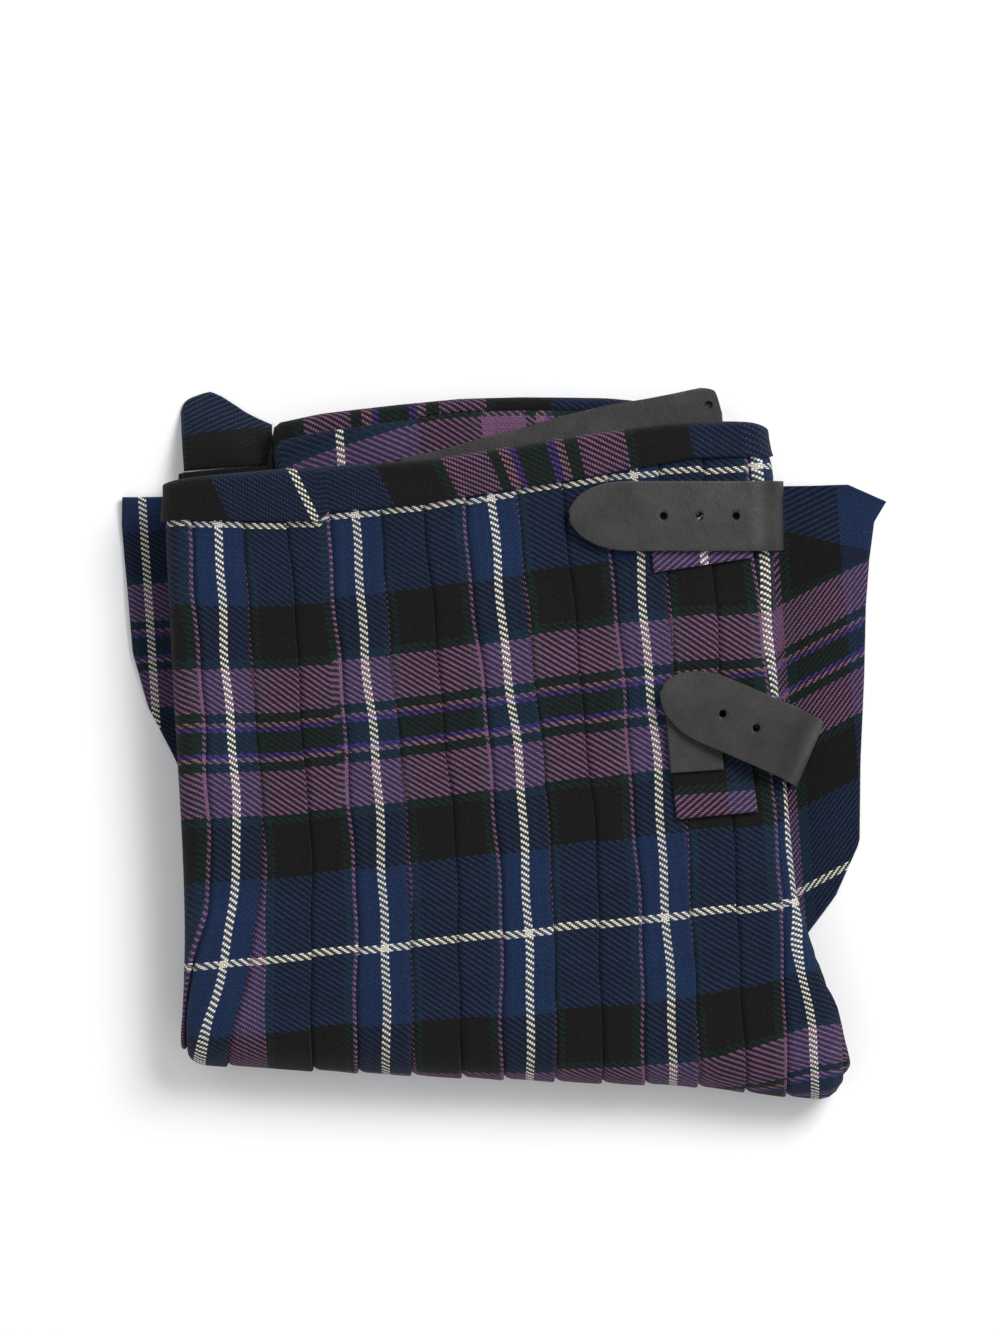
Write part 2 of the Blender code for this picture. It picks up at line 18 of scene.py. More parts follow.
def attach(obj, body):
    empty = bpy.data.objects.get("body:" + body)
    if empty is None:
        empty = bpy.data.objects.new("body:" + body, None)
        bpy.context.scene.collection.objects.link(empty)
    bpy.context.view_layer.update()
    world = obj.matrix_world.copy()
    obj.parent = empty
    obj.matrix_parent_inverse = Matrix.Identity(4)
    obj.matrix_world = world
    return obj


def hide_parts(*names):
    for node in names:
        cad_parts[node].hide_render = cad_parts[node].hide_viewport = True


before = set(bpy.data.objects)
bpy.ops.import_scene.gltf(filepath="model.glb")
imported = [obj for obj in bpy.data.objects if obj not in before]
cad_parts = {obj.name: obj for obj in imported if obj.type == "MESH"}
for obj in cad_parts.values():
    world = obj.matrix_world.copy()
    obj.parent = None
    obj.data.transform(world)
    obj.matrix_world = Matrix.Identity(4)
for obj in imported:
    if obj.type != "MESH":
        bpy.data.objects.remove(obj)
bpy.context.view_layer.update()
MM = 0.001

# ---- the bundle's form

CLOTH = 1.0
BAND_WALL = 1.6
APRON_WALL = 2.0
HEM_WALL = 1.2
TAB_WALL = 1.2
STRAP_WALL = 2.6
CHAPE_WALL = 2.0
GAP = 0.3
HALF_STACK = 17.8
BASE = APRON_WALL + GAP
SHOULDER = 7.0  # radius over the long edges
PLEAT_CLEAR = 0.9
LAYER = CLOTH + GAP
LOW = PLEAT_CLEAR + CLOTH / 2
HIGH = LOW + 2 * LAYER
PLEATS_TOP = HIGH + CLOTH / 2
EDGE_INSET = PLEATS_TOP + GAP
SIDE_CLEAR = 1.2
SLOT_HEIGHT = 5.2
SLOT_DEPTH = 7.0
END_HANG = 5.0  # how far the pleats go on past the long edges
BAND_ROOM = 0.8  # between the waistband and the layers' ends
WAVE_HEIGHT = 0.7
CORNER_SINK = 3.0  # where the bundle is flatter, at the right end of the bottom fold

Outline = namedtuple("Outline", "y left right")
BUNDLE_OUTLINE = (
    Outline(-170, -166.0, 134.5), Outline(-162, -166.0, 140.5), Outline(-156, -166.0, 142.5),
    Outline(-148, -165.6, 139.5), Outline(-135, -165.0, 138.5), Outline(-119, -163.0, 137.0),
    Outline(-101, -161.0, 128.5), Outline(-80, -159.5, 122.0), Outline(-40, -158.5, 121.0),
    Outline(15, -158.0, 121.0), Outline(60, -157.5, 122.5), Outline(104, -157.0, 124.0),
    Outline(114, -156.5, 126.5), Outline(122, -154.3, 124.5), Outline(142, -152.0, 121.5),
)

Edge = namedtuple("Edge", "x y")
FOLD_FRONT = (
    Edge(-162, -135.0), Edge(-110, -141.5), Edge(-20, -152.0), Edge(70, -161.5), Edge(122, -171.0),
    Edge(142, -172.4),
)
WAIST_TOP = (
    Edge(-152, 131.0), Edge(-142, 132.8), Edge(-107, 133.6), Edge(-45, 133.2), Edge(-25, 133.8),
    Edge(-7, 135.5), Edge(14, 137.5), Edge(36, 139.5), Edge(54, 140.7), Edge(75, 142.3),
    Edge(93, 142.2), Edge(113, 140.8), Edge(118, 139.0), Edge(122, 135.0),
)
BAND_LOW = (
    Edge(-160, 114.2), Edge(-84, 107.7), Edge(-80, 112.2), Edge(-38, 112.4), Edge(-5, 115.7),
    Edge(22, 117.6), Edge(51, 120.9), Edge(64, 122.5), Edge(79, 124.2), Edge(88, 125.2),
    Edge(108, 124.5), Edge(125, 122.8),
)
HEM_END = (
    Edge(-152, 137.5), Edge(-106.4, 138.0), Edge(-103.4, 155.6), Edge(-92, 157.2), Edge(-81, 158.8),
    Edge(-44, 160.6), Edge(-16, 161.3), Edge(12, 160.2), Edge(30, 158.8), Edge(52, 156.9),
    Edge(70, 154.0), Edge(101, 150.0), Edge(106, 140.0), Edge(121, 137.0),
)


def xyz(x, y, z):
    return np.stack([x, y, z], axis=-1)


def read(rows, at, column="y", soften=0.0):
    """A table's column at places in its first column, with its corners softened."""
    places = [row[0] for row in rows]
    values = [getattr(row, column) for row in rows]
    shifts = np.linspace(-soften, soften, 5) if soften else [0.0]
    return np.mean([np.interp(np.asarray(at, float) + s, places, values) for s in shifts], axis=0)


def smooth(part):
    part = np.clip(part, 0, 1)
    return part * part * (3 - 2 * part)


def half_stack(x, y):
    waves = WAVE_HEIGHT * np.sin(x / 46 + 0.6) * np.cos(y / 58 - 0.4)
    corner = CORNER_SINK * smooth((x - 60) / 90) * smooth((-80 - y) / 80)
    return HALF_STACK + waves - corner


def waist_end(x):
    return read(WAIST_TOP, x, soften=4) - BAND_WALL - BAND_ROOM


def slot_end(x):
    return waist_end(x) - SLOT_DEPTH


def turn_line(x):
    front = read(FOLD_FRONT, x, soften=8)
    return front + half_stack(x, front + 20) + PLEATS_TOP


def bundle_path(x, t):
    """Along the folded layers at x: -1 waist end, 0 slot, 1 to 2 bottom fold, 3 slot, 4 hem.

    Returns y and z of the outer face, y and z of its normal, and the half stack there.
    """
    x, t = np.broadcast_arrays(np.asarray(x, float), np.asarray(t, float))
    waist, slot, turn = waist_end(x), slot_end(x), turn_line(x)
    hem = read(HEM_END, x)
    in_fold = (t > 1) & (t < 2)
    y = np.select(
        [t < 0, t <= 1, t < 2, t <= 3],
        [
            slot + (waist - slot) * -t,
            slot + (turn - slot) * t,
            turn,
            turn + (slot - turn) * (t - 2),
        ],
        slot + (hem - slot) * (t - 3),
    )
    half = half_stack(x, y)
    angle = np.pi * (1.5 - t)
    normal_y = np.where(in_fold, -np.cos(angle), 0)
    normal_z = np.where(in_fold, np.sin(angle), np.where(t <= 1, 1, -1))
    z = BASE + half + half * normal_z
    return y + half * normal_y, z, normal_y, normal_z, half


def place(x, y):
    """The path's t on the upper half at x and y."""
    slot, turn = slot_end(x), turn_line(x)
    return np.where(y > slot, (slot - y) / SLOT_DEPTH, (slot - y) / (slot - turn))


def bundle_sides(y, soften=6):
    """The left and right edge of the layers under the pleats at y."""
    left, right = (read(BUNDLE_OUTLINE, y, side, soften) for side in ("left", "right"))
    return left + EDGE_INSET, right - EDGE_INSET


def on_bundle(q, t, lift):
    """Points lifted off the folded layers. Past the long edges q goes on down the sides."""
    q, t, lift = np.broadcast_arrays(*(np.asarray(v, float) for v in (q, t, lift)))
    y = bundle_path(q, t)[0]
    left, right = bundle_sides(y)
    left, right = left + SHOULDER, right - SHOULDER
    past = np.maximum(np.maximum(left - q, q - right), 0)
    side = np.where(q > right, 1, -1)
    angle = np.minimum(past / SHOULDER, np.pi / 2)
    sink = SHOULDER * (1 - np.cos(angle)) + np.maximum(past - SHOULDER * np.pi / 2, 0)
    x = np.clip(q, left, right) + side * SHOULDER * np.sin(angle)
    y, z, normal_y, normal_z, _ = bundle_path(x, t)
    out = lift * np.cos(angle) - sink
    return xyz(x + side * lift * np.sin(angle), y + normal_y * out, z + normal_z * out)


def middle_height(x, y):
    """Top of the lower half, where it shows behind the waistband."""
    return BASE + half_stack(x, y)


# ---- tartan and leather

WARP_REPEAT = 211.0  # from one white stripe to the next
WEFT_REPEAT = 198.6
ENDS_PITCH = 0.94
PICKS_PITCH = 0.70
WHITE = (0.80, 0.77, 0.68)
BLUE = (0.0110, 0.0290, 0.088)
BLACK = (0.0070, 0.0066, 0.0068)
GREEN = (0.007, 0.022, 0.017)
PURPLE = (0.200, 0.094, 0.182)
PINK = (0.245, 0.118, 0.165)
VIOLET = (0.078, 0.040, 0.240)

BLUE_END = 36.7  # how far from a white stripe's middle the broad stripes lie, both ways
BLACK_END = 61.3
PURPLE_START = 65.4
PURPLE_END = 85.8

# Half of each repeat, mirrored at both ends: a stripe ends this far from the white one's middle
Stripe = namedtuple("Stripe", "end colour")
WARP_SETT = (
    Stripe(1.88, WHITE), Stripe(BLUE_END, BLUE), Stripe(BLACK_END, BLACK), Stripe(PURPLE_START, GREEN),
    Stripe(PURPLE_END, PURPLE), Stripe(91.1, GREEN), Stripe(95.2, PINK), Stripe(98.9, VIOLET),
    Stripe(WARP_REPEAT / 2, GREEN),
)
WEFT_SETT = (
    Stripe(1.42, WHITE), Stripe(BLUE_END, BLUE), Stripe(BLACK_END, BLACK), Stripe(PURPLE_START, GREEN),
    Stripe(PURPLE_END, PURPLE), Stripe(89.7, GREEN), Stripe(92.3, PINK), Stripe(94.6, VIOLET),
    Stripe(WEFT_REPEAT / 2, GREEN),
)


def node(tree, kind, inputs=(), **settings):
    """A new node. An input is a value or another node's output."""
    made = tree.nodes.new(kind)
    for name, value in settings.items():
        setattr(made, name, value)
    for key, value in dict(inputs).items():
        if isinstance(value, bpy.types.NodeSocket):
            tree.links.new(value, made.inputs[key])
        else:
            made.inputs[key].default_value = value
    return made


def maths(tree, operation, *values):
    made = node(tree, "ShaderNodeMath", enumerate(values), operation=operation)
    return made.outputs[0]


def mixed(tree, factor, a, b, blend="MIX"):
    inputs = {0: factor, 6: a, 7: b}
    return node(tree, "ShaderNodeMix", inputs, data_type="RGBA", blend_type=blend).outputs[2]


def noise(tree, where, scale, detail, roughness, distortion=0.0):
    inputs = {"Vector": where, "Scale": scale, "Detail": detail, "Roughness": roughness}
    return node(tree, "ShaderNodeTexNoise", {**inputs, "Distortion": distortion}).outputs[0]


def ranged(tree, value, low, high, to_low, to_high):
    """A value between low and high, taken to its place between to_low and to_high."""
    made = node(tree, "ShaderNodeMapRange", {0: value, 1: low, 2: high, 3: to_low, 4: to_high})
    return made.outputs[0]


def stripe_colour(tree, sett, across):
    """The sett's colour of a thread that lies this far from a white stripe's middle."""
    half_repeat = sett[-1].end
    ramp = node(tree, "ShaderNodeValToRGB")
    ramp.color_ramp.interpolation = "CONSTANT"
    elements = ramp.color_ramp.elements
    elements.remove(elements[1])
    elements[0].position = 0
    elements[0].color = (*sett[0].colour, 1)
    for before, stripe in zip(sett, sett[1:]):
        elements.new(before.end / half_repeat).color = (*stripe.colour, 1)
    mirrored = maths(tree, "PINGPONG", across, half_repeat)
    tree.links.new(maths(tree, "DIVIDE", mirrored, half_repeat), ramp.inputs[0])
    return ramp.outputs[0]


def thread_shade(tree, index, seed, spread):
    """A brightness near 1 that differs from thread to thread."""
    shifted = maths(tree, "ADD", index, seed)
    random = node(tree, "ShaderNodeTexWhiteNoise", {"W": shifted}, noise_dimensions="1D")
    return maths(tree, "MULTIPLY_ADD", random.outputs[0], spread, 1 - spread / 2)


def float_top(tree, run, bead):
    """How high a thread's float stands; it has come this far of the float's length."""
    turned = maths(tree, "MULTIPLY", maths(tree, "MINIMUM", run, 1), math.pi)
    return maths(tree, "POWER", maths(tree, "SINE", turned), bead)


TWILL = 4  # threads to a repeat: two over and two under, one step on with each pick
WARP_BEAD = 1.3  # the warp's floats stand up as short beads, the weft's lie longer
WEFT_BEAD = 0.6
THREAD_SPREAD = 0.34  # how much threads differ in brightness
THREAD_ROUNDING = 0.7
# Painted shade: the lowest brightness the weave's colour is darkened to between threads
GAP_SHADE = 0.16  # brightness where a thread dips under its neighbours
FUZZ_SPREAD = 0.05  # how much loose fibres carry each colour into its neighbours
FUZZ_LIMIT = (0.75, 0.75, 0.75, 1)
FIBRES = 0.16  # and how much they grey the cloth
FIBRE_COLOUR = (0.10, 0.10, 0.12, 1)


def make_tartan_weave():
    """A node group: the cloth's colour, with painted shade between its threads, and its relief."""
    tree = bpy.data.node_groups.new("TartanWeave", "ShaderNodeTree")
    calc = partial(maths, tree)
    for name, kind in (("Colour", "NodeSocketColor"), ("Relief", "NodeSocketFloat")):
        tree.interface.new_socket(name, in_out="OUTPUT", socket_type=kind)
    cloth = node(tree, "ShaderNodeAttribute", attribute_name="cloth")
    axes = node(tree, "ShaderNodeSeparateXYZ", {0: cloth.outputs["Vector"]})
    ends = calc("DIVIDE", axes.outputs[0], ENDS_PITCH)
    picks = calc("DIVIDE", axes.outputs[1], PICKS_PITCH)
    end, pick = calc("FLOOR", ends), calc("FLOOR", picks)
    across = calc("MULTIPLY", calc("ADD", end, 0.5), ENDS_PITCH)
    along = calc("MULTIPLY", calc("ADD", pick, 0.5), PICKS_PITCH)
    warp = stripe_colour(tree, WARP_SETT, across)
    weft = stripe_colour(tree, WEFT_SETT, along)
    twill = axes.outputs[2]
    step = calc("FLOORED_MODULO", calc("MULTIPLY_ADD", pick, twill, end), TWILL)
    weft_on_top = calc("GREATER_THAN", step, TWILL / 2 - 0.5)
    # How far along its float a thread has come, 0 to 1
    against = calc("MULTIPLY_ADD", twill, -0.5, 0.5)
    warp_run = calc("ADD", calc("MULTIPLY_ADD", picks, twill, end), against)
    weft_run = calc("SUBTRACT", calc("MULTIPLY_ADD", pick, twill, ends), TWILL / 2)
    warp_float, weft_float = (
        calc("MULTIPLY", calc("FLOORED_MODULO", run, TWILL), 2 / TWILL)
        for run in (warp_run, weft_run)
    )
    warp_top = float_top(tree, warp_float, WARP_BEAD)
    weft_top = float_top(tree, weft_float, WEFT_BEAD)
    # Each thread is rounded, and painted shade darkens it where it dips under its neighbours
    warp_round = calc("MULTIPLY", calc("PINGPONG", ends, 0.5), 2)
    weft_round = calc("MULTIPLY", calc("PINGPONG", picks, 0.5), 2)
    rounds = node(tree, "ShaderNodeMix", {0: weft_on_top, 2: warp_round, 3: weft_round}).outputs[0]
    tops = node(tree, "ShaderNodeMix", {0: weft_on_top, 2: warp_top, 3: weft_top}).outputs[0]
    thread = calc("MULTIPLY", calc("POWER", rounds, THREAD_ROUNDING), tops)
    warp_shade = thread_shade(tree, end, 0.37, THREAD_SPREAD)
    weft_shade = thread_shade(tree, pick, 91.7, THREAD_SPREAD)
    colour = mixed(tree, weft_on_top, warp, weft)
    shade = mixed(tree, weft_on_top, warp_shade, weft_shade)
    place_in_cloth = node(tree, "ShaderNodeTexCoord").outputs["Object"]
    fuzz = noise(tree, place_in_cloth, scale=1400, detail=3, roughness=0.7)
    patches = noise(tree, place_in_cloth, scale=38, detail=3, roughness=0.6)
    # Painted shade between the threads and at the floats' ends, multiplied into the cloth's colour
    dip = calc("MULTIPLY_ADD", thread, 1 - GAP_SHADE, GAP_SHADE)
    fuzzy = calc("MULTIPLY_ADD", fuzz, 1.2, 0.5)
    wear_and_highlight = calc("MULTIPLY_ADD", patches, 0.5, 0.85)
    tone = calc("MULTIPLY", calc("MULTIPLY", dip, fuzzy), wear_and_highlight)
    shaded = mixed(tree, 1.0, colour, shade, "MULTIPLY")
    toned = mixed(tree, 1.0, shaded, tone, "MULTIPLY")
    around = mixed(tree, 0.5, warp, weft)
    spread = mixed(tree, FUZZ_SPREAD, toned, mixed(tree, 1.0, around, FUZZ_LIMIT, "DARKEN"))
    fibres = calc("MULTIPLY", calc("POWER", fuzz, 3), FIBRES)
    fibred = mixed(tree, fibres, spread, FIBRE_COLOUR)
    relief = calc("MULTIPLY_ADD", fuzz, 0.3, thread)
    out = node(tree, "NodeGroupOutput")
    tree.links.new(fibred, out.inputs[0])
    tree.links.new(relief, out.inputs[1])
    return tree


TARTAN_WEAVE = make_tartan_weave()
SHEEN_ROUGHNESS = 0.45
CLOTH_RELIEF = 0.28
LEATHER_RELIEF = 0.17
LEATHER_DARK = (0.011, 0.0105, 0.010, 1)
LEATHER_PALE = (0.027, 0.0255, 0.024, 1)
# Painted highlight: the lighter leather colour laid along the strap's edges
LEATHER_EDGE_HIGHLIGHT = (0.060, 0.056, 0.052, 1)  # along its edges


def new_material(name, roughness, specular, sheen=0.0):
    made = bpy.data.materials.new(name)
    made.use_nodes = True
    shader = made.node_tree.nodes["Principled BSDF"]
    values = {"Roughness": roughness, "Specular IOR Level": specular, "Sheen Weight": sheen}
    for key, value in {**values, "Sheen Roughness": SHEEN_ROUGHNESS}.items():
        shader.inputs[key].default_value = value
    return made, made.node_tree, shader


def bumped(tree, shader, height, distance):
    bump = node(tree, "ShaderNodeBump", {"Height": height, "Distance": distance * MM, "Strength": 1})
    tree.links.new(bump.outputs[0], shader.inputs["Normal"])


def make_tartan():
    made, tree, shader = new_material("tartan_wool", 0.95, 0.12, sheen=0.05)
    weave = node(tree, "ShaderNodeGroup", node_tree=TARTAN_WEAVE)
    tree.links.new(weave.outputs["Colour"], shader.inputs["Base Color"])
    bumped(tree, shader, weave.outputs["Relief"], CLOTH_RELIEF)
    return made


def make_leather():
    made, tree, shader = new_material("black_leather", 0.55, 0.30)
    place_on = node(tree, "ShaderNodeTexCoord").outputs["Object"]
    grain = node(tree, "ShaderNodeTexVoronoi", {"Vector": place_on, "Scale": 1300}, feature="SMOOTH_F1")
    creases = noise(tree, place_on, scale=210, detail=6, roughness=0.65, distortion=0.6)
    wear = noise(tree, place_on, scale=45, detail=4, roughness=0.6)
    pointiness = node(tree, "ShaderNodeNewGeometry").outputs["Pointiness"]
    # Painted highlight along the edges, where Pointiness is high; the pale patches mixed before it are
    # random tone
    edge = ranged(tree, pointiness, 0.52, 0.62, 0.0, 0.5)
    tone = ranged(tree, wear, 0.35, 0.7, 0.0, 1.0)
    dark = mixed(tree, tone, LEATHER_DARK, LEATHER_PALE)
    wear_and_highlight = mixed(tree, edge, dark, LEATHER_EDGE_HIGHLIGHT)
    tree.links.new(wear_and_highlight, shader.inputs["Base Color"])
    gloss = ranged(tree, creases, 0.3, 0.7, 0.44, 0.62)
    tree.links.new(gloss, shader.inputs["Roughness"])
    height = maths(tree, "MULTIPLY_ADD", grain.outputs[0], 0.6, creases)
    bumped(tree, shader, height, LEATHER_RELIEF)
    return made


TARTAN = make_tartan()
LEATHER = make_leather()


# ---- meshes


def linked(name, data):
    obj = bpy.data.objects.new(name, data)
    bpy.context.scene.collection.objects.link(obj)
    return obj


def new_object(name, mesh, material):
    mesh.materials.append(material)
    return linked(name, mesh)


def grid_faces(rows, columns):
    corner = np.arange(rows * columns).reshape(rows, columns)
    return np.stack(
        [corner[:-1, :-1], corner[:-1, 1:], corner[1:, 1:], corner[1:, :-1]], axis=-1
    ).reshape(-1, 4)


def mesh_of(name, parts, weld=0.0):
    """A mesh of grids: each part is (points, cloth), rows by columns by 3."""
    points, cloth, faces, count = [], [], [], 0
    for place_of, cloth_of in parts:
        rows, columns = place_of.shape[:2]
        faces.append(grid_faces(rows, columns) + count)
        points.append(place_of.reshape(-1, 3))
        cloth.append(np.broadcast_to(cloth_of, place_of.shape).reshape(-1, 3))
        count += rows * columns
    points, cloth, faces = np.concatenate(points), np.concatenate(cloth), np.concatenate(faces)
    mesh = bpy.data.meshes.new(name)
    mesh.from_pydata((points * MM).tolist(), [], faces.tolist())
    attribute = mesh.attributes.new("cloth", "FLOAT_VECTOR", "POINT")
    attribute.data.foreach_set("vector", cloth.astype(np.float32).ravel())
    bm = bmesh.new()
    bm.from_mesh(mesh)
    if weld:
        bmesh.ops.remove_doubles(bm, verts=bm.verts, dist=weld)
    bmesh.ops.recalc_face_normals(bm, faces=bm.faces)
    bm.to_mesh(mesh)
    bm.free()
    mesh.shade_smooth()
    return mesh


def wall(name, points, cloth, thickness, material, weld=0.0, even=True):
    """A cloth or leather wall about a grid of points."""
    obj = new_object(name, mesh_of(name, [(points, cloth)], weld=weld), material)
    solidify = obj.modifiers.new("Thickness", "SOLIDIFY")
    solidify.thickness = thickness * MM
    solidify.offset = 0
    solidify.use_even_offset = even
    solidify.use_quality_normals = True
    return obj


def cloth_at(across, along, twill=-1):
    across, along = np.broadcast_arrays(np.asarray(across, float), np.asarray(along, float))
    return xyz(across, along, np.full(across.shape, float(twill)))


def area_of(points):
    """A grid's area in square metres."""
    a, b = points[1:, :-1] - points[:-1, :-1], points[:-1, 1:] - points[:-1, :-1]
    return float(np.linalg.norm(np.cross(a, b), axis=-1).sum()) * MM * MM


# ---- pleated back

PLEAT_WIDTHS = (23.3, 21.0, 19.7)
FIRST_FOLD = -143.2
PLEATS = 15
PLEAT_TURN = 6.0  # how far a pleat's cloth runs back under it
TURN_SHARE = 0.45  # and how much of its width at most
FOLD_RADIUS = LAYER / 2
LEANS = {0: 18.0, 1: 18.0, 2: 5.0, 3: 3.5, 4: 2.5}  # of the first folds, out to the front corner
SMALL_LEAN = 1.5
LEAN_STARTS = -40
LEAN_LENGTH = 92
SWAY = 2.2  # of the folds in the middle
LEFT_ROOM = 4.5  # from the left end to the first fold
NARROWEST_PLEAT = 1.2
CLOSING = 6  # over which the pleats close up at the right end
NEIGHBOUR_GAP = 0.2
STEP_LENGTH = 1.9  # from the neighbour's fold until a pleat lies on it
STEP_SHARE = 0.66  # of a pleat's drop, the rest is its slope
PLEAT_CROWN = 0.2
FACE_NEAR = np.array([0, 0.6, 1.2, 1.8, 2.5, 3.5, 5.0])  # from the neighbour's fold
FOLD_ANGLES = (72, 45, 15, -15, -45, -72, -90)
PLEATS_START, PLEATS_END = -0.6, 1.76
# How far across the warp each of the three pleats' folds lies, from a white stripe's middle
FOLD_IN_SETT = (WARP_REPEAT + 66.6, 11.0, WARP_REPEAT - 45.4)
TWO_REPEATS = 2 * WARP_REPEAT
# Towards both sides the front edge is rolled under sooner
ROLLED_UNDER = (Edge(-150, 0.16), Edge(-20, 0), Edge(80, 0), Edge(122, 0.16))

WHITE_WEFT = (
    Edge(-160, 112.4), Edge(-84, 105.9), Edge(-80, 110.4), Edge(-38, 110.6), Edge(-5, 114.0),
    Edge(22, 116.0), Edge(51, 119.3), Edge(125, 119.2),
)


def second_white_weft(x):
    return -85.7 + 0.0373 * x


# The pleats at the right edge draw in over its side towards the waist
DRAWN_IN_FROM = 13
DRAWN_IN = (
    Edge(-150, -0.3), Edge(-138, 0.0), Edge(-120, 1.0), Edge(-98, 4.0), Edge(-85, 6.2),
    Edge(60, 9.5),
)


def pleat_fold(k, y):
    """Where pleat k folds back at distance y."""
    cycle = sum(PLEAT_WIDTHS)
    base = FIRST_FOLD + (k // 3) * cycle + sum(PLEAT_WIDTHS[: k % 3])
    lean = np.clip((LEAN_STARTS - y) / LEAN_LENGTH, 0, 1.2) ** 1.6
    sway = SWAY * np.exp(-(((base + 5) / 60) ** 2)) * np.cos((y + 45) / 52)
    waver = 0.45 * np.sin(y / 17 + 2.1 * k) + 0.35 * np.sin(y / 7.3 + 4.7 * k)
    drawn_in = float(read(DRAWN_IN, y)) if k >= DRAWN_IN_FROM else 0.0
    return base - LEANS.get(k, SMALL_LEAN) * lean + sway + waver - drawn_in


def pleat_section(y):
    """q, lift, the warp's place and the pleat's number across the whole back at distance y.

    A pleat whose fold would lie past the right edge is cut off there, and those after it close up.
    """
    left, right = (float(side) for side in bundle_sides(y))
    start, end = left - END_HANG, right + END_HANG
    section = []
    left, shown = start, 1.0
    for k in range(PLEATS):
        fold_in_sett = FOLD_IN_SETT[k % 3] + (k // 3) * TWO_REPEATS
        natural = max(float(pleat_fold(k, y)), start + LEFT_ROOM) if k < PLEATS - 1 else end
        fold = max(min(natural, end), left + (NARROWEST_PLEAT if shown == 1 else 0))
        next_shown = min(1.0, max(0.0, end - fold) / CLOSING)
        turn = min(PLEAT_TURN, (fold - left) * TURN_SHARE) * next_shown
        radius = FOLD_RADIUS * next_shown
        face_start = left + NEIGHBOUR_GAP * shown
        face_end = max(fold - radius, face_start)
        near = np.minimum(FACE_NEAR, (face_end - face_start) * 0.5)
        width = max(face_end - face_start, 1e-6)
        for at in [*(face_start + near), *np.linspace(face_start + near[-1], face_end, 8)[1:]]:
            part = (at - face_start) / width
            steep = 1 - math.exp(-(((at - face_start) / STEP_LENGTH) ** 2))
            crown = PLEAT_CROWN * math.sin(math.pi * part) * math.sin(y / 23 + 1.7 * k)
            drop = (HIGH - LOW) * (1 - STEP_SHARE * steep - (1 - STEP_SHARE) * part)
            height = HIGH + (crown - drop) * shown
            section.append((at, height, fold_in_sett - (max(natural, fold) - at), k))
        if k == PLEATS - 1:
            break
        for angle in FOLD_ANGLES:
            a = math.radians(angle)
            section.append(
                (
                    fold - radius + radius * math.cos(a),
                    HIGH - radius + radius * math.sin(a),
                    fold_in_sett - (natural - fold) + radius * (math.pi / 2 - a) / 2,
                    k,
                )
            )
        low = HIGH - (HIGH - LOW) * next_shown
        layer = LAYER * next_shown
        next_left = FOLD_IN_SETT[(k + 1) % 3] + ((k + 1) // 3) * TWO_REPEATS - PLEAT_WIDTHS[k % 3]
        section += [
            (fold - turn, HIGH - layer, fold_in_sett + turn, k),
            (fold - turn - radius, HIGH - 1.5 * layer, fold_in_sett + turn + 1, k),
            (fold - turn, low, next_left - turn, k + 1),
            (fold - turn * 0.4, low, next_left - turn * 0.4, k + 1),
        ]
        left, shown = fold, next_shown
    return np.array(section).T


def make_pleated_back():
    stations = np.concatenate(
        [
            np.linspace(PLEATS_START, 0, 4)[:-1],
            np.linspace(0, 1, 88)[:-1],
            np.linspace(1, PLEATS_END, 17),
        ]
    )
    points, cloth = [], []
    below_fold = 0.0
    before = None
    for t in stations:
        y_here = float(bundle_path(0.0, t)[0])
        q, lift, warp, number = pleat_section(y_here)
        row = on_bundle(q, t, lift)
        ripple = 0.22 * np.sin(row[:, 0] / 9.1 + row[:, 1] / 13.7) * np.sin(row[:, 1] / 21.3 + number)
        if t < 1:
            row[:, 2] += ripple
        if t > 1:
            below_fold += float(np.linalg.norm(row[len(row) // 2] - before[len(row) // 2]))
        flat_y = row[:, 1] if t <= 1 else turn_line(row[:, 0])
        white, second = read(WHITE_WEFT, q, soften=1.2), second_white_weft(q)
        offset = 0.7 * np.sin(2.4 * number + 0.8)
        along = (white - flat_y) * WEFT_REPEAT / (white - second) + below_fold + offset
        along = along + read(ROLLED_UNDER, q) * np.maximum(along - WEFT_REPEAT, 0)
        points.append(row)
        cloth.append(cloth_at(warp, along))
        before = row
    points, cloth = np.array(points), np.array(cloth)
    obj = wall("pleated_back_cloth", points, cloth, CLOTH * 0.95, TARTAN, weld=1e-5, even=False)
    return obj


# ---- hidden layers

Ply = namedtuple("Ply", "start end inset warp")
# Depths of each ply as parts of the half stack, how far in its fold lies, and its place in the sett
PLIES = (
    Ply(0.00, 0.13, 1.9, 20), Ply(0.13, 0.27, 0.5, 68), Ply(0.27, 0.40, 0.9, 50),
    Ply(0.40, 0.54, 0.3, 82), Ply(0.54, 0.63, -1.3, 10), Ply(0.63, 0.71, -1.1, 95),
    Ply(0.71, 0.80, -1.5, 74), Ply(0.80, 0.90, -1.1, 30), Ply(0.90, 1.00, -0.5, 58),
)
SLOT_PART = 1 - SLOT_HEIGHT / HALF_STACK
LAYER_COLUMNS = (-130, -107.2, -102.6, -78, -52, -26, 0, 26, 52, 78, 98, 107, 121)
PLY_ROUND = (-0.96, -0.75, -0.4, 0.0, 0.4, 0.75, 0.96)
UNEVEN_PLIES = 2.2  # how far the plies' stripes are out of step
PLY_BULGE = 1.5  # how far a ply's fold stands out from its rims
OUTER_ROUNDING = 5.4  # of the stack's top and bottom corners
ROUNDED_PART = 0.12
TOP_INSET, SLOT_INSET, MIDDLE_INSET = 7.5, 1.2, 3.2
ENDS_WARP = 0.985  # how much of the sett shows to each millimetre across
CORNER_WARP = 0.48  # and left of CORNER_X
PlyEdge = namedtuple("PlyEdge", "depth inset warp in_slot ply")


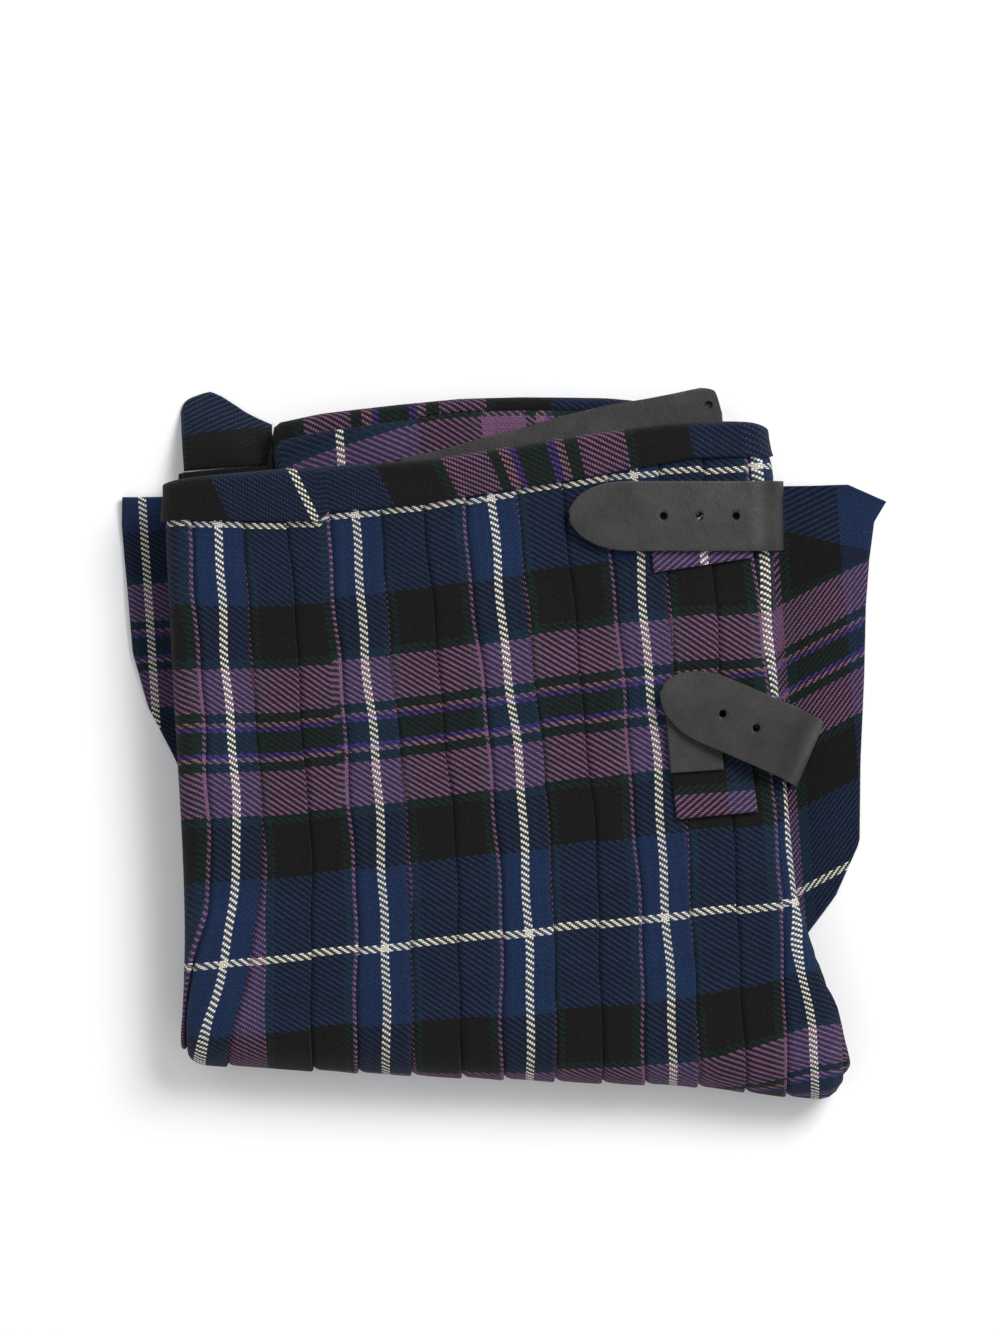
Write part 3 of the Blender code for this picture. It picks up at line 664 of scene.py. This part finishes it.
def ply_edges():
    """Down one half's side, each ply's fold rounded. The last edges end at the waist's slot."""
    edges = []
    for i, ply in enumerate(PLIES):
        middle, radius = (ply.start + ply.end) / 2, (ply.end - ply.start) / 2
        for around in PLY_ROUND:
            depth = middle + radius * around
            bulge = PLY_BULGE * (1 - math.sqrt(1 - around * around))
            rounding = OUTER_ROUNDING * max(0.0, 1 - depth / ROUNDED_PART) ** 2 if i < 2 else 0.0
            inset = ply.inset + bulge + rounding
            edges.append(PlyEdge(depth, inset, ply.warp + around * 2, depth > SLOT_PART, i))
    edges.insert(0, PlyEdge(0.0, TOP_INSET, PLIES[0].warp - 3, False, 0))
    split = next(i for i, edge in enumerate(edges) if edge.in_slot)
    slot = (SLOT_PART, SLOT_INSET, edges[split].warp)
    edges[split:split] = [PlyEdge(*slot, False, 5), PlyEdge(*slot, True, 6)]
    edges.append(PlyEdge(1.0, MIDDLE_INSET, PLIES[-1].warp, True, len(PLIES) - 1))
    return edges


def side_x(t, edge, side):
    column = "right" if side > 0 else "left"
    outline = read(BUNDLE_OUTLINE, np.zeros_like(t), column)
    for _ in range(3):
        y = bundle_path(outline, t)[0]
        outline = read(BUNDLE_OUTLINE, y, column, soften=6)
    uneven = 0.55 * np.sin(y / 31 + 2.3 * edge.ply + side) + 0.3 * np.sin(y / 11.7 + 4.1 * edge.ply)
    if edge.inset >= 5:
        uneven = 0.0
    return outline - side * (EDGE_INSET + SIDE_CLEAR + edge.inset + 0.5 + uneven)


def layer_points(t, edge, columns):
    """Points of the hidden layers at each t of one ply edge, in the columns from left to right."""
    t = np.atleast_1d(np.asarray(t, float))
    if edge.in_slot:
        t = np.maximum(t, 0)
    left, right = side_x(t, edge, -1), side_x(t, edge, 1)
    total = len(LAYER_COLUMNS) + 1
    xs = []
    for column in columns:
        if column == 0:
            xs.append(left)
        elif column == total:
            xs.append(right)
        else:
            xs.append(np.clip(LAYER_COLUMNS[column - 1], left + column, right - (total - column)))
    x = np.stack(xs, axis=-1)
    wide = np.broadcast_to(t[:, None], x.shape)
    y, z, normal_y, normal_z, half = bundle_path(x, wide)
    at_end = (wide == -1) | (wide == 4)
    y = y - normal_y * edge.depth * half - np.where(at_end, max(edge.inset, 0) * 0.6, 0)
    z = z - normal_z * edge.depth * half
    return xyz(x, y, z)


def layer_cloth(points, edge):
    """The sett runs on along the path; each ply shows its own part of it across."""
    return cloth_at(edge.warp + points[..., 0] * ENDS_WARP, 20 - points[..., 1])


WAIST_WEFT = -23.0  # where the hidden layers' two ends lie along the cloth
HEM_WEFT = 2 * WEFT_REPEAT + 57
CORNER_X = -102.6  # left of it the ends are plain black


def end_warp(x):
    """How far across the cloth a point of the hidden layers' ends lies."""
    return 61 + np.where(x < CORNER_X, CORNER_WARP, ENDS_WARP) * (x - CORNER_X)


def down_the_side(beside, path, stations):
    """How far along the cloth the points of a ply's edge lie, in step with the pleats on top.

    The bottom fold takes up what is over, so that all plies end at the same place in the sett.
    """
    white, second = read(WHITE_WEFT, beside, soften=1.2), second_white_weft(beside)
    steps = np.linalg.norm(np.diff(path[:, 1:], axis=0), axis=-1)
    length = np.concatenate([[0.0], np.cumsum(steps)])
    along = (white - path[0, 1] + length) * WEFT_REPEAT / (white - second)
    return along - (along[-1] - HEM_WEFT) * np.clip(stations - 1, 0, 1)


def make_folded_layers():
    edges = ply_edges()
    columns = list(range(len(LAYER_COLUMNS) + 2))
    upper = np.concatenate([[-1, PLEATS_START], np.linspace(0, 1, 46)])
    fold = np.linspace(1, 2, 15)[1:-1]
    lower = np.concatenate([3 - np.linspace(0, 1, 46)[::-1], [3.25, 3.5, 3.75, 4]])
    stations = np.concatenate([upper, fold, lower])
    strips = []
    for edge in reversed(edges):
        strips.append((layer_points(stations, edge, [0]), edge, "side"))
    strips.append((layer_points(stations, edges[0], columns[1:-1]), edges[0], "top"))
    for edge in edges:
        strips.append((layer_points(stations, edge, [columns[-1]]), edge, "side"))
    around = np.concatenate([s[0] for s in strips], axis=1)
    middle = layer_points(stations, edges[len(edges) // 2], [0])[:, 0]
    around_cloth = []
    for strip, edge, kind in strips:
        if kind == "side":
            across = np.full(strip.shape[:2], float(edge.warp))
            along = down_the_side(strip[:, :, 0].mean(), middle, stations)[:, None]
            around_cloth.append(cloth_at(across, along + UNEVEN_PLIES * math.sin(3.1 * edge.ply)))
        else:
            around_cloth.append(layer_cloth(strip, edge))
    around_cloth = np.concatenate(around_cloth, axis=1)
    parts = [(around, around_cloth)]
    for t, weft, ply_weft in ((-1.0, WAIST_WEFT, -2.0), (4.0, HEM_WEFT - 16, 2.0)):
        cap = np.concatenate([layer_points([t], edge, columns) for edge in edges])
        rows = [
            cloth_at(end_warp(cap[i : i + 1, :, 0]), weft + ply_weft * edge.ply)
            for i, edge in enumerate(edges)
        ]
        parts.append((cap, np.concatenate(rows)))
    shelf = layer_points([3, 3.25, 3.5, 3.75, 4], edges[-1], columns)
    parts.append((shelf, cloth_at(end_warp(shelf[..., 0]), HEM_WEFT + 0.9 * (shelf[..., 1] - 138))))
    mesh = mesh_of("folded_layers_cloth", parts, weld=2e-5)
    return new_object("folded_layers_cloth", mesh, TARTAN)


# ---- waistband and hem

BAND_PINCH = -82.0  # a soft tuck across the band
PINCH_WIDTH = 3.2
PINCH_DEPTH = 0.35
BAND_WHITE = -91.7  # where the band's white warp stripe lies at the height BAND_MIDDLE
BAND_MIDDLE = 124.0
BAND_WARP = 0.963  # how much of the sett shows to each millimetre, across and along
BAND_WEFT = 0.95
BAND_WEFT_START = 37
BAND_HANG = 4.5  # past the long edges
BAND_TURN = 4.2  # radius over the waist end
BAND_STEP = 1.9


def band_warp(x, y):
    """How far across the warp a point of the band lies, from its white stripe's middle."""
    slant = np.interp(x, (-95, -15, 40, 120), (0.38, 0.38, 0.13, 0.05))
    return BAND_WARP * (x - BAND_WHITE) + slant * (y - BAND_MIDDLE)


def make_waistband():
    lift = PLEATS_TOP + GAP + BAND_WALL / 2
    turn = BAND_TURN
    left, right = bundle_sides(BAND_MIDDLE + 1, soften=0)
    end = right + BAND_HANG
    q = np.concatenate([np.arange(left - BAND_HANG, end, BAND_STEP), [end]])
    low = read(BAND_LOW, q, soften=1.2)
    top = read(WAIST_TOP, q, soften=4) - BAND_WALL / 2 - turn
    columns, cloth = [], []
    length = np.zeros_like(q)
    before = None

    def add(points):
        nonlocal before, length
        if before is not None:
            length = length + np.linalg.norm(points - before, axis=-1)
        before = points
        columns.append(points)
        along = BAND_WEFT_START + BAND_WEFT * length
        cloth.append(cloth_at(band_warp(q, low + length), along, twill=1))

    for part in np.linspace(0, 1, 13):
        y = low + (top - low) * part
        soft = 0.28 * np.sin(q / 11.3 + 1.9 * part) * np.sin(math.pi * part)
        from_pinch = (q - BAND_PINCH - 3 + 8 * part) / PINCH_WIDTH
        pinch = 1.1 * np.exp(-(from_pinch**2)) * (0.4 + 0.6 * part)
        add(on_bundle(q, place(q, y), lift + soft - PINCH_DEPTH * pinch))
    x, y, z = (before[:, i] for i in range(3))
    for angle in np.linspace(0, np.pi / 2, 8)[1:]:
        add(xyz(x, y + turn * np.sin(angle), z - turn * (1 - np.cos(angle))))
    foot = middle_height(q, top) + SLOT_HEIGHT + GAP + 0.3
    bottom = np.minimum(foot, z - turn - 1.0)
    for part in np.linspace(0, 1, 6)[1:]:
        add(xyz(x, y + turn, (z - turn) * (1 - part) + bottom * part))
    points = np.stack(columns, axis=1)
    obj = wall("waistband_cloth", points, np.stack(cloth, axis=1), BAND_WALL * 0.95, TARTAN)
    return obj


# How far in from the hem layer's edge its outer ply ends and its purple stripe starts
HEM_PLY = (Edge(-104, 9.0), Edge(-67, 8.6), Edge(-42, 8.0), Edge(-28, 6.6), Edge(97, 6.4))
HEM_STRIPE = (Edge(-104, 22.0), Edge(-67, 14.8), Edge(-42, 10.0), Edge(-28, 8.4), Edge(97, 8.0))
PLY_STEP = 0.7
HEM_TURN = 3.0  # radius of the outer ply over the edge
HEM_HANG = 4.0


def make_hem_layer():
    """Two plies show: the outer one's weft is black, the inner one's has a broad purple stripe."""
    x = np.linspace(-103.4, 96.5, 104)
    inner = slot_end(x) + 1.5
    outer = read(HEM_END, x, soften=3) + 2 * GAP + HEM_WALL / 2
    crease = outer - read(HEM_PLY, x, soften=3)
    inner_warp, inner_weft = x + 72.7, PURPLE_START - read(HEM_STRIPE, x)
    outer_warp, outer_weft = 0.94 * (x + 67) + WARP_REPEAT / 2 - 19, 54
    lift = GAP + HEM_WALL / 2
    columns, cloth = [], []

    def add(y, z, across, along):
        columns.append(xyz(x, y, z))
        cloth.append(cloth_at(across, along))

    for part in np.linspace(0, 1, 8):
        y = inner + (crease - inner) * part
        soft = 0.25 * np.sin(x / 8.7 + 3 * part) * part
        puff = 0.35 * np.sin(math.pi * part**3)
        add(y, middle_height(x, y) + lift + soft + puff, inner_warp, inner_weft + outer - y)
    for part in (0.04, 0.18, 0.4, 0.7, 1.0):
        y = crease + (outer - HEM_TURN - crease) * part
        dip = PLY_STEP * math.exp(-(((part - 0.04) / 0.35) ** 2))
        z = middle_height(x, y) + lift + 0.25 * np.sin(x / 8.7 + 3) - dip
        add(y, z, outer_warp, outer_weft + outer - y)
    turned = [
        (y + HEM_TURN * np.sin(angle), HEM_TURN * (1 - np.cos(angle)))
        for angle in np.linspace(0, np.pi / 2, 7)[1:]
    ]
    turned += [(outer + 0.1, HEM_TURN + HEM_HANG / 2), (outer + 0.2, HEM_TURN + HEM_HANG)]
    for y, drop in turned:
        add(y, z - drop, outer_warp, outer_weft + outer - y - drop)
    points = np.stack(columns, axis=1)
    obj = wall("hem_layer_cloth", points, np.stack(cloth, axis=1), HEM_WALL * 0.95, TARTAN)
    return obj


REAR_CORNER = (
    Edge(-145.8, 167.0), Edge(-145.0, 170.5), Edge(-143.5, 172.8), Edge(-141.3, 174.1),
    Edge(-135.2, 175.9), Edge(-131.9, 176.4), Edge(-127.2, 173.9), Edge(-121.6, 169.7),
    Edge(-116.5, 165.6), Edge(-110.7, 162.1),
)


def make_under_apron():
    """It curves down from behind the bundle to the surface."""
    inner_y, inner_z, outer_z = 139.0, 13.5, 1.0
    along_edge = np.linspace(REAR_CORNER[0].x, -104.5, 40)
    x = np.unique(np.concatenate([along_edge, [corner.x for corner in REAR_CORNER]]))
    outer = read(REAR_CORNER + (Edge(-104.0, 158.6),), x, soften=0.5)
    part_x = (x - x[0]) / (x[-1] - x[0])
    columns = []
    for part in np.linspace(0, 1, 26):
        curl = 3.0 * np.sin(np.pi * part_x)
        z = outer_z + (inner_z + curl - outer_z) * (1 - part**1.5)
        z = z + 0.35 * np.sin(x / 5.1 + 4 * part) * part * (1 - part) * 4
        columns.append(xyz(x, inner_y + (outer - inner_y) * part, z))
    points = np.stack(columns, axis=1)
    along = BLUE_END + 1.1 * (157.0 - points[..., 1]) + 0.06 * (points[..., 0] + 125)
    cloth = cloth_at(60.5 - 0.55 * (points[..., 0] + 143), along)
    obj = wall("under_apron_cloth", points, cloth, 1.5, TARTAN)
    return obj


Panel = namedtuple("Panel", "left_x left_y right_x right_y")
OVER_APRON = (
    Panel(-176.0, 130.0, 161.5, 112.3), Panel(-177.2, 117.0, 178.9, 103.4),
    Panel(-176.9, 101.0, 172.5, 94.5), Panel(-176.2, 80.0, 169.0, 78.0),
    Panel(-175.8, 57.0, 165.7, 56.4), Panel(-170.5, 32.0, 162.4, 22.8),
    Panel(-160.0, 8.0, 157.7, -16.2), Panel(-150.0, -20.0, 154.4, -54.0),
    Panel(-143.0, -60.0, 141.5, -78.0), Panel(-139.0, -92.0, 119.0, -104.0),
    Panel(-135.0, -112.0, 106.0, -132.0),
)

# How far the apron stands off the surface, by its part across
APRON_LIFT = (
    Edge(0, 2.2), Edge(0.03, 0.7), Edge(0.06, 0), Edge(0.9, 0), Edge(0.93, 0.2), Edge(0.965, 0.8),
    Edge(1, 1.8),
)
WEFT_BLACK = PURPLE_START - BLUE_END
APRON_CREASE_X = 140  # at the right a fold draws the weft's stripes together towards the edge
LEFT_WEFT, LEFT_BLUE_END = 1.165, 113.7
RIGHT_WARP, LEFT_WARP = 192.7, 167.0


def make_over_apron():
    rows_at = np.linspace(0, len(OVER_APRON) - 1, 90)
    left_part, middle, right_part = (0, 0.12, 16), (0.12, 0.85, 30), (0.85, 1, 22)
    part = np.unique(np.concatenate([np.linspace(*s) for s in (left_part, middle, right_part)]))
    knots = np.arange(len(OVER_APRON))
    left_x, left_y, right_x, right_y = (
        np.interp(rows_at, knots, [getattr(panel, name) for panel in OVER_APRON])
        for name in Panel._fields
    )
    x = left_x[:, None] + (right_x - left_x)[:, None] * part
    y = left_y[:, None] + (right_y - left_y)[:, None] * part
    lift = read(APRON_LIFT, part)[None, :]
    wave = 0.55 + 0.45 * np.cos(1.9 * rows_at[:, None] + 7.2 * part[None, :])
    fade = 1 - smooth((rows_at[:, None] - 4) / 2)
    z = APRON_WALL / 2 + lift * wave * fade
    points = xyz(x, y, z)
    blue_ends = 90.0 - 0.33 * (x - APRON_CREASE_X)
    purple_starts = 64.9 + 0.45 * (x - APRON_CREASE_X)
    between = WEFT_BLACK * (blue_ends - y) / (blue_ends - purple_starts)
    below = np.where(y > purple_starts, between, WEFT_BLACK + purple_starts - y)
    right_along = np.where(y > blue_ends, blue_ends - y, below)
    along = BLUE_END + np.where(x > 0, right_along, LEFT_WEFT * (LEFT_BLUE_END - y))
    across = np.where(x > 0, RIGHT_WARP - x, x + LEFT_WARP)
    obj = wall("over_apron_cloth", points, cloth_at(across, along), APRON_WALL * 0.97, TARTAN)
    return obj


# ---- tabs


def make_tab(name, corners, lift, thickness, material, white_at=0.0, purple_from=0.0):
    u, v = np.meshgrid(np.linspace(0, 1, 30), np.linspace(0, 1, 26), indexing="ij")
    low_left, low_right, high_right, high_left = (np.array(c) for c in corners)
    flat = (
        low_left * ((1 - u) * (1 - v))[..., None]
        + low_right * (u * (1 - v))[..., None]
        + high_right * (u * v)[..., None]
        + high_left * ((1 - u) * v)[..., None]
    )
    x, y = flat[..., 0], flat[..., 1]
    soft = 0.1 * np.sin(x / 6 + y / 9)
    points = on_bundle(x, place(x, y), lift + thickness / 2 + soft)
    cloth = cloth_at(x - white_at, PURPLE_START + purple_from - y, twill=1)
    return wall(name, points, cloth, thickness * 0.95, material), area_of(points)


def make_tabs():
    on_pleats = PLEATS_TOP + 2 * GAP
    waist_corners = ((66.5, 73.6), (112.0, 77.4), (110.0, 109.0), (66.5, 112.0))
    hip_corners = ((69.0, -39.5), (106.0, -38.5), (104.0, -1.0), (67.5, 2.0))
    chape_corners = ((67.6, -18.5), (92.0, -18.5), (92.0, 9.0), (67.2, 12.0))
    waist_tab, waist_area = make_tab(
        "tab_waist_cloth", waist_corners, on_pleats, TAB_WALL, TARTAN, white_at=90.1, purple_from=86.5
    )
    hip_tab, hip_area = make_tab(
        "tab_hip_cloth", hip_corners, on_pleats, TAB_WALL, TARTAN, white_at=129.5, purple_from=-28.2
    )
    above_tab = on_pleats + TAB_WALL + GAP
    chape, _ = make_tab("chape_hip_leather", chape_corners, above_tab, CHAPE_WALL, LEATHER)
    soften_edges(chape, 0.5)
    return waist_tab, hip_tab, chape


# ---- straps

STRAP_WIDTH = 32.0
STRAP_POINT = 26.0
NARROWEST = 1.4
HOLE_RADIUS = 1.7
FIRST_HOLE = 42.5
HIP_HOLES = (29.5, 46.0)
HOLE_PITCH = 16.5
HOLES = 3
ACROSS_STRAP = np.array([-1, -0.93, -0.8, -0.6, -0.4, -0.2, 0, 0.2, 0.4, 0.6, 0.8, 0.93, 1])
TIP_ROWS = (0, 0.15, 0.45, 0.9, 1.6, 2.6, 4, 5.5, 7.3, 9.5, 12, 15, 18.5, 22.5)  # from the strap's end
LEATHER_EDGE = 0.55
PUNCH_DEPTH = 9


def soften_edges(obj, width):
    bevel = obj.modifiers.new("Edges", "BEVEL")
    bevel.width = width * MM
    bevel.segments = 3
    bevel.limit_method = "ANGLE"
    bevel.angle_limit = math.radians(50)


def strap_half_width(distance):
    part = np.clip(distance / STRAP_POINT, 0, 1)
    return np.maximum(STRAP_WIDTH / 2 * np.sqrt(part * (2 - part)), NARROWEST)


def punch(strap, centres):
    """Prong holes."""
    for i, centre in enumerate(centres):
        mesh = bpy.data.meshes.new(f"{strap.name}_hole_{i}")
        bm = bmesh.new()
        radius, depth = HOLE_RADIUS * MM, PUNCH_DEPTH * MM
        bmesh.ops.create_cone(
            bm, cap_ends=True, segments=28, radius1=radius, radius2=radius, depth=depth
        )
        bm.to_mesh(mesh)
        bm.free()
        cutter = linked(mesh.name, mesh)
        cutter.location = [float(c) * MM for c in centre]
        cut = strap.modifiers.new("Hole", "BOOLEAN")
        cut.operation = "DIFFERENCE"
        cut.object = cutter
        bake_modifiers(strap)
        bpy.data.objects.remove(cutter)


def bake_modifiers(obj):
    graph = bpy.context.evaluated_depsgraph_get()
    made = bpy.data.meshes.new_from_object(obj.evaluated_get(graph))
    obj.modifiers.clear()
    obj.data = made


def smooth_path(places, steps):
    """A smooth curve through places, steps to each stretch."""
    places = np.array(places, float)
    padded = np.concatenate([places[:1], places, places[-1:]])
    u = np.linspace(0, 1, steps, endpoint=False)[:, None]
    made = []
    for p, q, r, s in zip(padded, padded[1:], padded[2:], padded[3:]):
        bend, twist = 2 * p - 5 * q + 4 * r - s, 3 * q - p - 3 * r + s
        made.append(0.5 * (2 * q + (r - p) * u + bend * u**2 + twist * u**3))
    return np.concatenate([*made, places[-1:]])


def leather_strap(name, points):
    obj = wall(name, points, cloth_at(0 * points[..., 0], 0), STRAP_WALL, LEATHER)
    soften_edges(obj, LEATHER_EDGE)
    bake_modifiers(obj)
    return obj


def make_waist_strap():
    lift = PLEATS_TOP + GAP + TAB_WALL + 1.0 + STRAP_WALL / 2
    tip, slope, y_at_tip = 30.4, -0.068, 101.8
    distance = np.concatenate([TIP_ROWS, np.linspace(27, 113, 62)])
    q = tip + distance

    def middle_y(at):
        return y_at_tip + slope * (np.minimum(at, 125) - tip)

    y = middle_y(q)[:, None] + strap_half_width(distance)[:, None] * ACROSS_STRAP
    wide_q = np.broadcast_to(q[:, None], y.shape)
    crown = 0.25 * (1 - ACROSS_STRAP**2) + 0.3 * np.sin(distance / 19)[:, None]
    strap = leather_strap("strap_waist_leather", on_bundle(wide_q, place(wide_q, y), lift + crown - 0.2))
    centres = []
    for i in range(HOLES):
        at = tip + FIRST_HOLE + HOLE_PITCH * i
        centres.append(on_bundle(at, place(at, middle_y(at)), lift))
    punch(strap, centres)
    return strap


StrapPlace = namedtuple("StrapPlace", "along height")
HIP_STRAP = (
    StrapPlace(0, 49.3), StrapPlace(2, 49.3), StrapPlace(6, 49.3), StrapPlace(14, 49.4),
    StrapPlace(26, 50.4), StrapPlace(40, 52.0), StrapPlace(54, 52.2), StrapPlace(64, 49.4),
    StrapPlace(70, 43.0), StrapPlace(72.5, 33.0), StrapPlace(73.0, 22.0), StrapPlace(72.5, 12.0),
    StrapPlace(71.5, 5.0),
)


def make_hip_strap():
    tip_x, tip_y, heading = 66.8, 20.2, math.radians(-27.5)
    ahead = np.array([math.cos(heading), math.sin(heading)])
    beside = np.array([-math.sin(heading), math.cos(heading)])
    path = smooth_path(HIP_STRAP, 8)
    travelled = np.concatenate([[0], np.cumsum(np.linalg.norm(np.diff(path, axis=0), axis=1))])
    half = strap_half_width(travelled)[:, None] * ACROSS_STRAP
    twist = 0.035 * smooth((travelled - 14) / 40)
    x = tip_x + path[:, :1] * ahead[0] + half * beside[0]
    y = tip_y + path[:, :1] * ahead[1] + half * beside[1]
    z = path[:, 1:] + half * twist[:, None] + 0.3 * (1 - ACROSS_STRAP**2)
    strap = leather_strap("strap_hip_leather", xyz(x, y, z))
    centres = [(tip_x + along * ahead[0], tip_y + along * ahead[1], 52.0) for along in HIP_HOLES]
    punch(strap, centres)
    return strap


THIRD_STRAP = (
    Edge(-46.0, 136.6), Edge(-25.0, 139.6), Edge(-6.2, 143.4), Edge(10.7, 146.4), Edge(29.6, 151.0),
    Edge(52.1, 154.8), Edge(69.8, 156.3), Edge(82.0, 157.8), Edge(91.7, 159.2), Edge(95.5, 159.7),
    Edge(99.8, 158.8), Edge(102.3, 157.4), Edge(103.2, 152.0), Edge(104.2, 146.0),
)


def make_third_strap():
    thickness = STRAP_WALL - 0.3
    corner = 99  # the rows lie closer from here
    far_part, near_part = (THIRD_STRAP[0].x, corner, 76), (corner, THIRD_STRAP[-1].x, 14)
    x = np.unique(np.concatenate([np.linspace(*far_part), np.linspace(*near_part)]))
    inner, outer = slot_end(x) + 1.5, read(THIRD_STRAP, x, soften=0.8)
    columns = []
    for part in np.linspace(0, 1, 14):
        y = inner + (outer - inner) * part
        soft = 0.25 * np.sin(x / 13 + 2 * part) * part
        z = middle_height(x, y) + 2 * GAP + HEM_WALL + thickness / 2 + 0.25 + soft
        columns.append(xyz(x, y, z))
    points = np.stack(columns, axis=1)
    obj = wall("strap_third_leather", points, cloth_at(0 * points[..., 0], 0), thickness, LEATHER)
    soften_edges(obj, 0.5)
    bake_modifiers(obj)
    # This hole stops just short of the strap's underside: its dark leather floor is painted shade for
    # the gap below
    hole = (98.5, 151.3)
    punch(obj, [(*hole, float(middle_height(*hole)) + 6.8)])
    return obj


# ---- the scene


FLOOR_COLOURS = ((0.80, 0.80, 0.805, 1), (0.835, 0.835, 0.838, 1))
FLOOR_DEPTH = 0.0002  # below the kilt, in metres


def make_floor():
    bpy.ops.mesh.primitive_plane_add(size=6, location=(0, 0, -FLOOR_DEPTH))
    floor = bpy.context.object
    floor.name = "floor"
    made, tree, shader = new_material("pale_floor", 0.9, 0.1)
    grain = node(tree, "ShaderNodeTexNoise", {"Scale": 60, "Detail": 4})
    colour = mixed(tree, grain.outputs[0], *FLOOR_COLOURS)
    tree.links.new(colour, shader.inputs["Base Color"])
    floor.data.materials.append(made)


PHOTO_SCALE = 2.19  # pixels a millimetre at the top of the bundle, in the 1000 by 1333 image
IMAGE_HEIGHT = 1333
ROLL = math.radians(4)
ELEVATION = math.radians(85.5)
CAMERA_DISTANCE = 2200
MIDDLE = Vector((0.83, 2.87, 0))  # of the kilt, moved to the frame's origin at the end
AIM = Vector((-6.3, 36.0, 40.0)) - MIDDLE
SENSOR = 36


def make_camera():
    data = bpy.data.cameras.new("camera")
    data.sensor_fit = "VERTICAL"
    data.sensor_height = SENSOR
    data.lens = SENSOR * CAMERA_DISTANCE * PHOTO_SCALE / IMAGE_HEIGHT
    camera = linked("camera", data)
    ahead = Matrix.Rotation(-ROLL, 3, "Z") @ Vector((0, math.cos(ELEVATION), -math.sin(ELEVATION)))
    right = Vector((math.cos(ROLL), -math.sin(ROLL), 0))
    up = right.cross(ahead)
    turned = Matrix((right, up, -ahead)).transposed().to_4x4()
    camera.matrix_world = Matrix.Translation((AIM - ahead * CAMERA_DISTANCE) * MM) @ turned
    bpy.context.scene.camera = camera


Lamp = namedtuple("Lamp", "name place size power")
LAMPS = (
    Lamp("key", (0.95, 0.75, 1.5), 0.9, 34),
    Lamp("fill", (-1.1, -0.3, 1.3), 1.5, 3),
    Lamp("front", (0.1, -1.5, 1.2), 1.2, 3),
)
SKY_COLOUR = (0.98, 0.99, 1.0, 1)
SKY_STRENGTH = 0.62


def make_lights():
    for lamp in LAMPS:
        data = bpy.data.lights.new(lamp.name, "AREA")
        data.size = lamp.size
        data.energy = lamp.power
        light = linked(lamp.name, data)
        light.location = lamp.place
        light.rotation_euler = Vector(lamp.place).to_track_quat("Z", "Y").to_euler()
    world = bpy.context.scene.world or bpy.data.worlds.new("world")
    bpy.context.scene.world = world
    world.use_nodes = True
    sky = world.node_tree.nodes["Background"]
    sky.inputs["Color"].default_value = SKY_COLOUR
    sky.inputs["Strength"].default_value = SKY_STRENGTH


def dress(obj, nodes):
    obj.data.transform(Matrix.Translation(-MIDDLE * MM))
    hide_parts(*nodes)
    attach(obj, "root")


def main():
    bpy.context.scene.view_settings.view_transform = "Standard"
    dress(make_over_apron(), ["over_apron"])
    dress(make_folded_layers(), ["folded_layers"])
    dress(make_pleated_back(), ["pleated_back"])
    dress(make_waistband(), ["waistband"])
    dress(make_hem_layer(), ["hem_layer"])
    dress(make_under_apron(), ["under_apron"])
    waist_tab, hip_tab, chape = make_tabs()
    dress(waist_tab, ["tab_waist"])
    dress(hip_tab, ["tab_hip"])
    dress(chape, ["chape_hip"])
    dress(make_waist_strap(), ["strap_waist"])
    dress(make_hip_strap(), ["strap_hip"])
    dress(make_third_strap(), ["strap_third"])
    make_floor()
    make_lights()
    make_camera()


main()
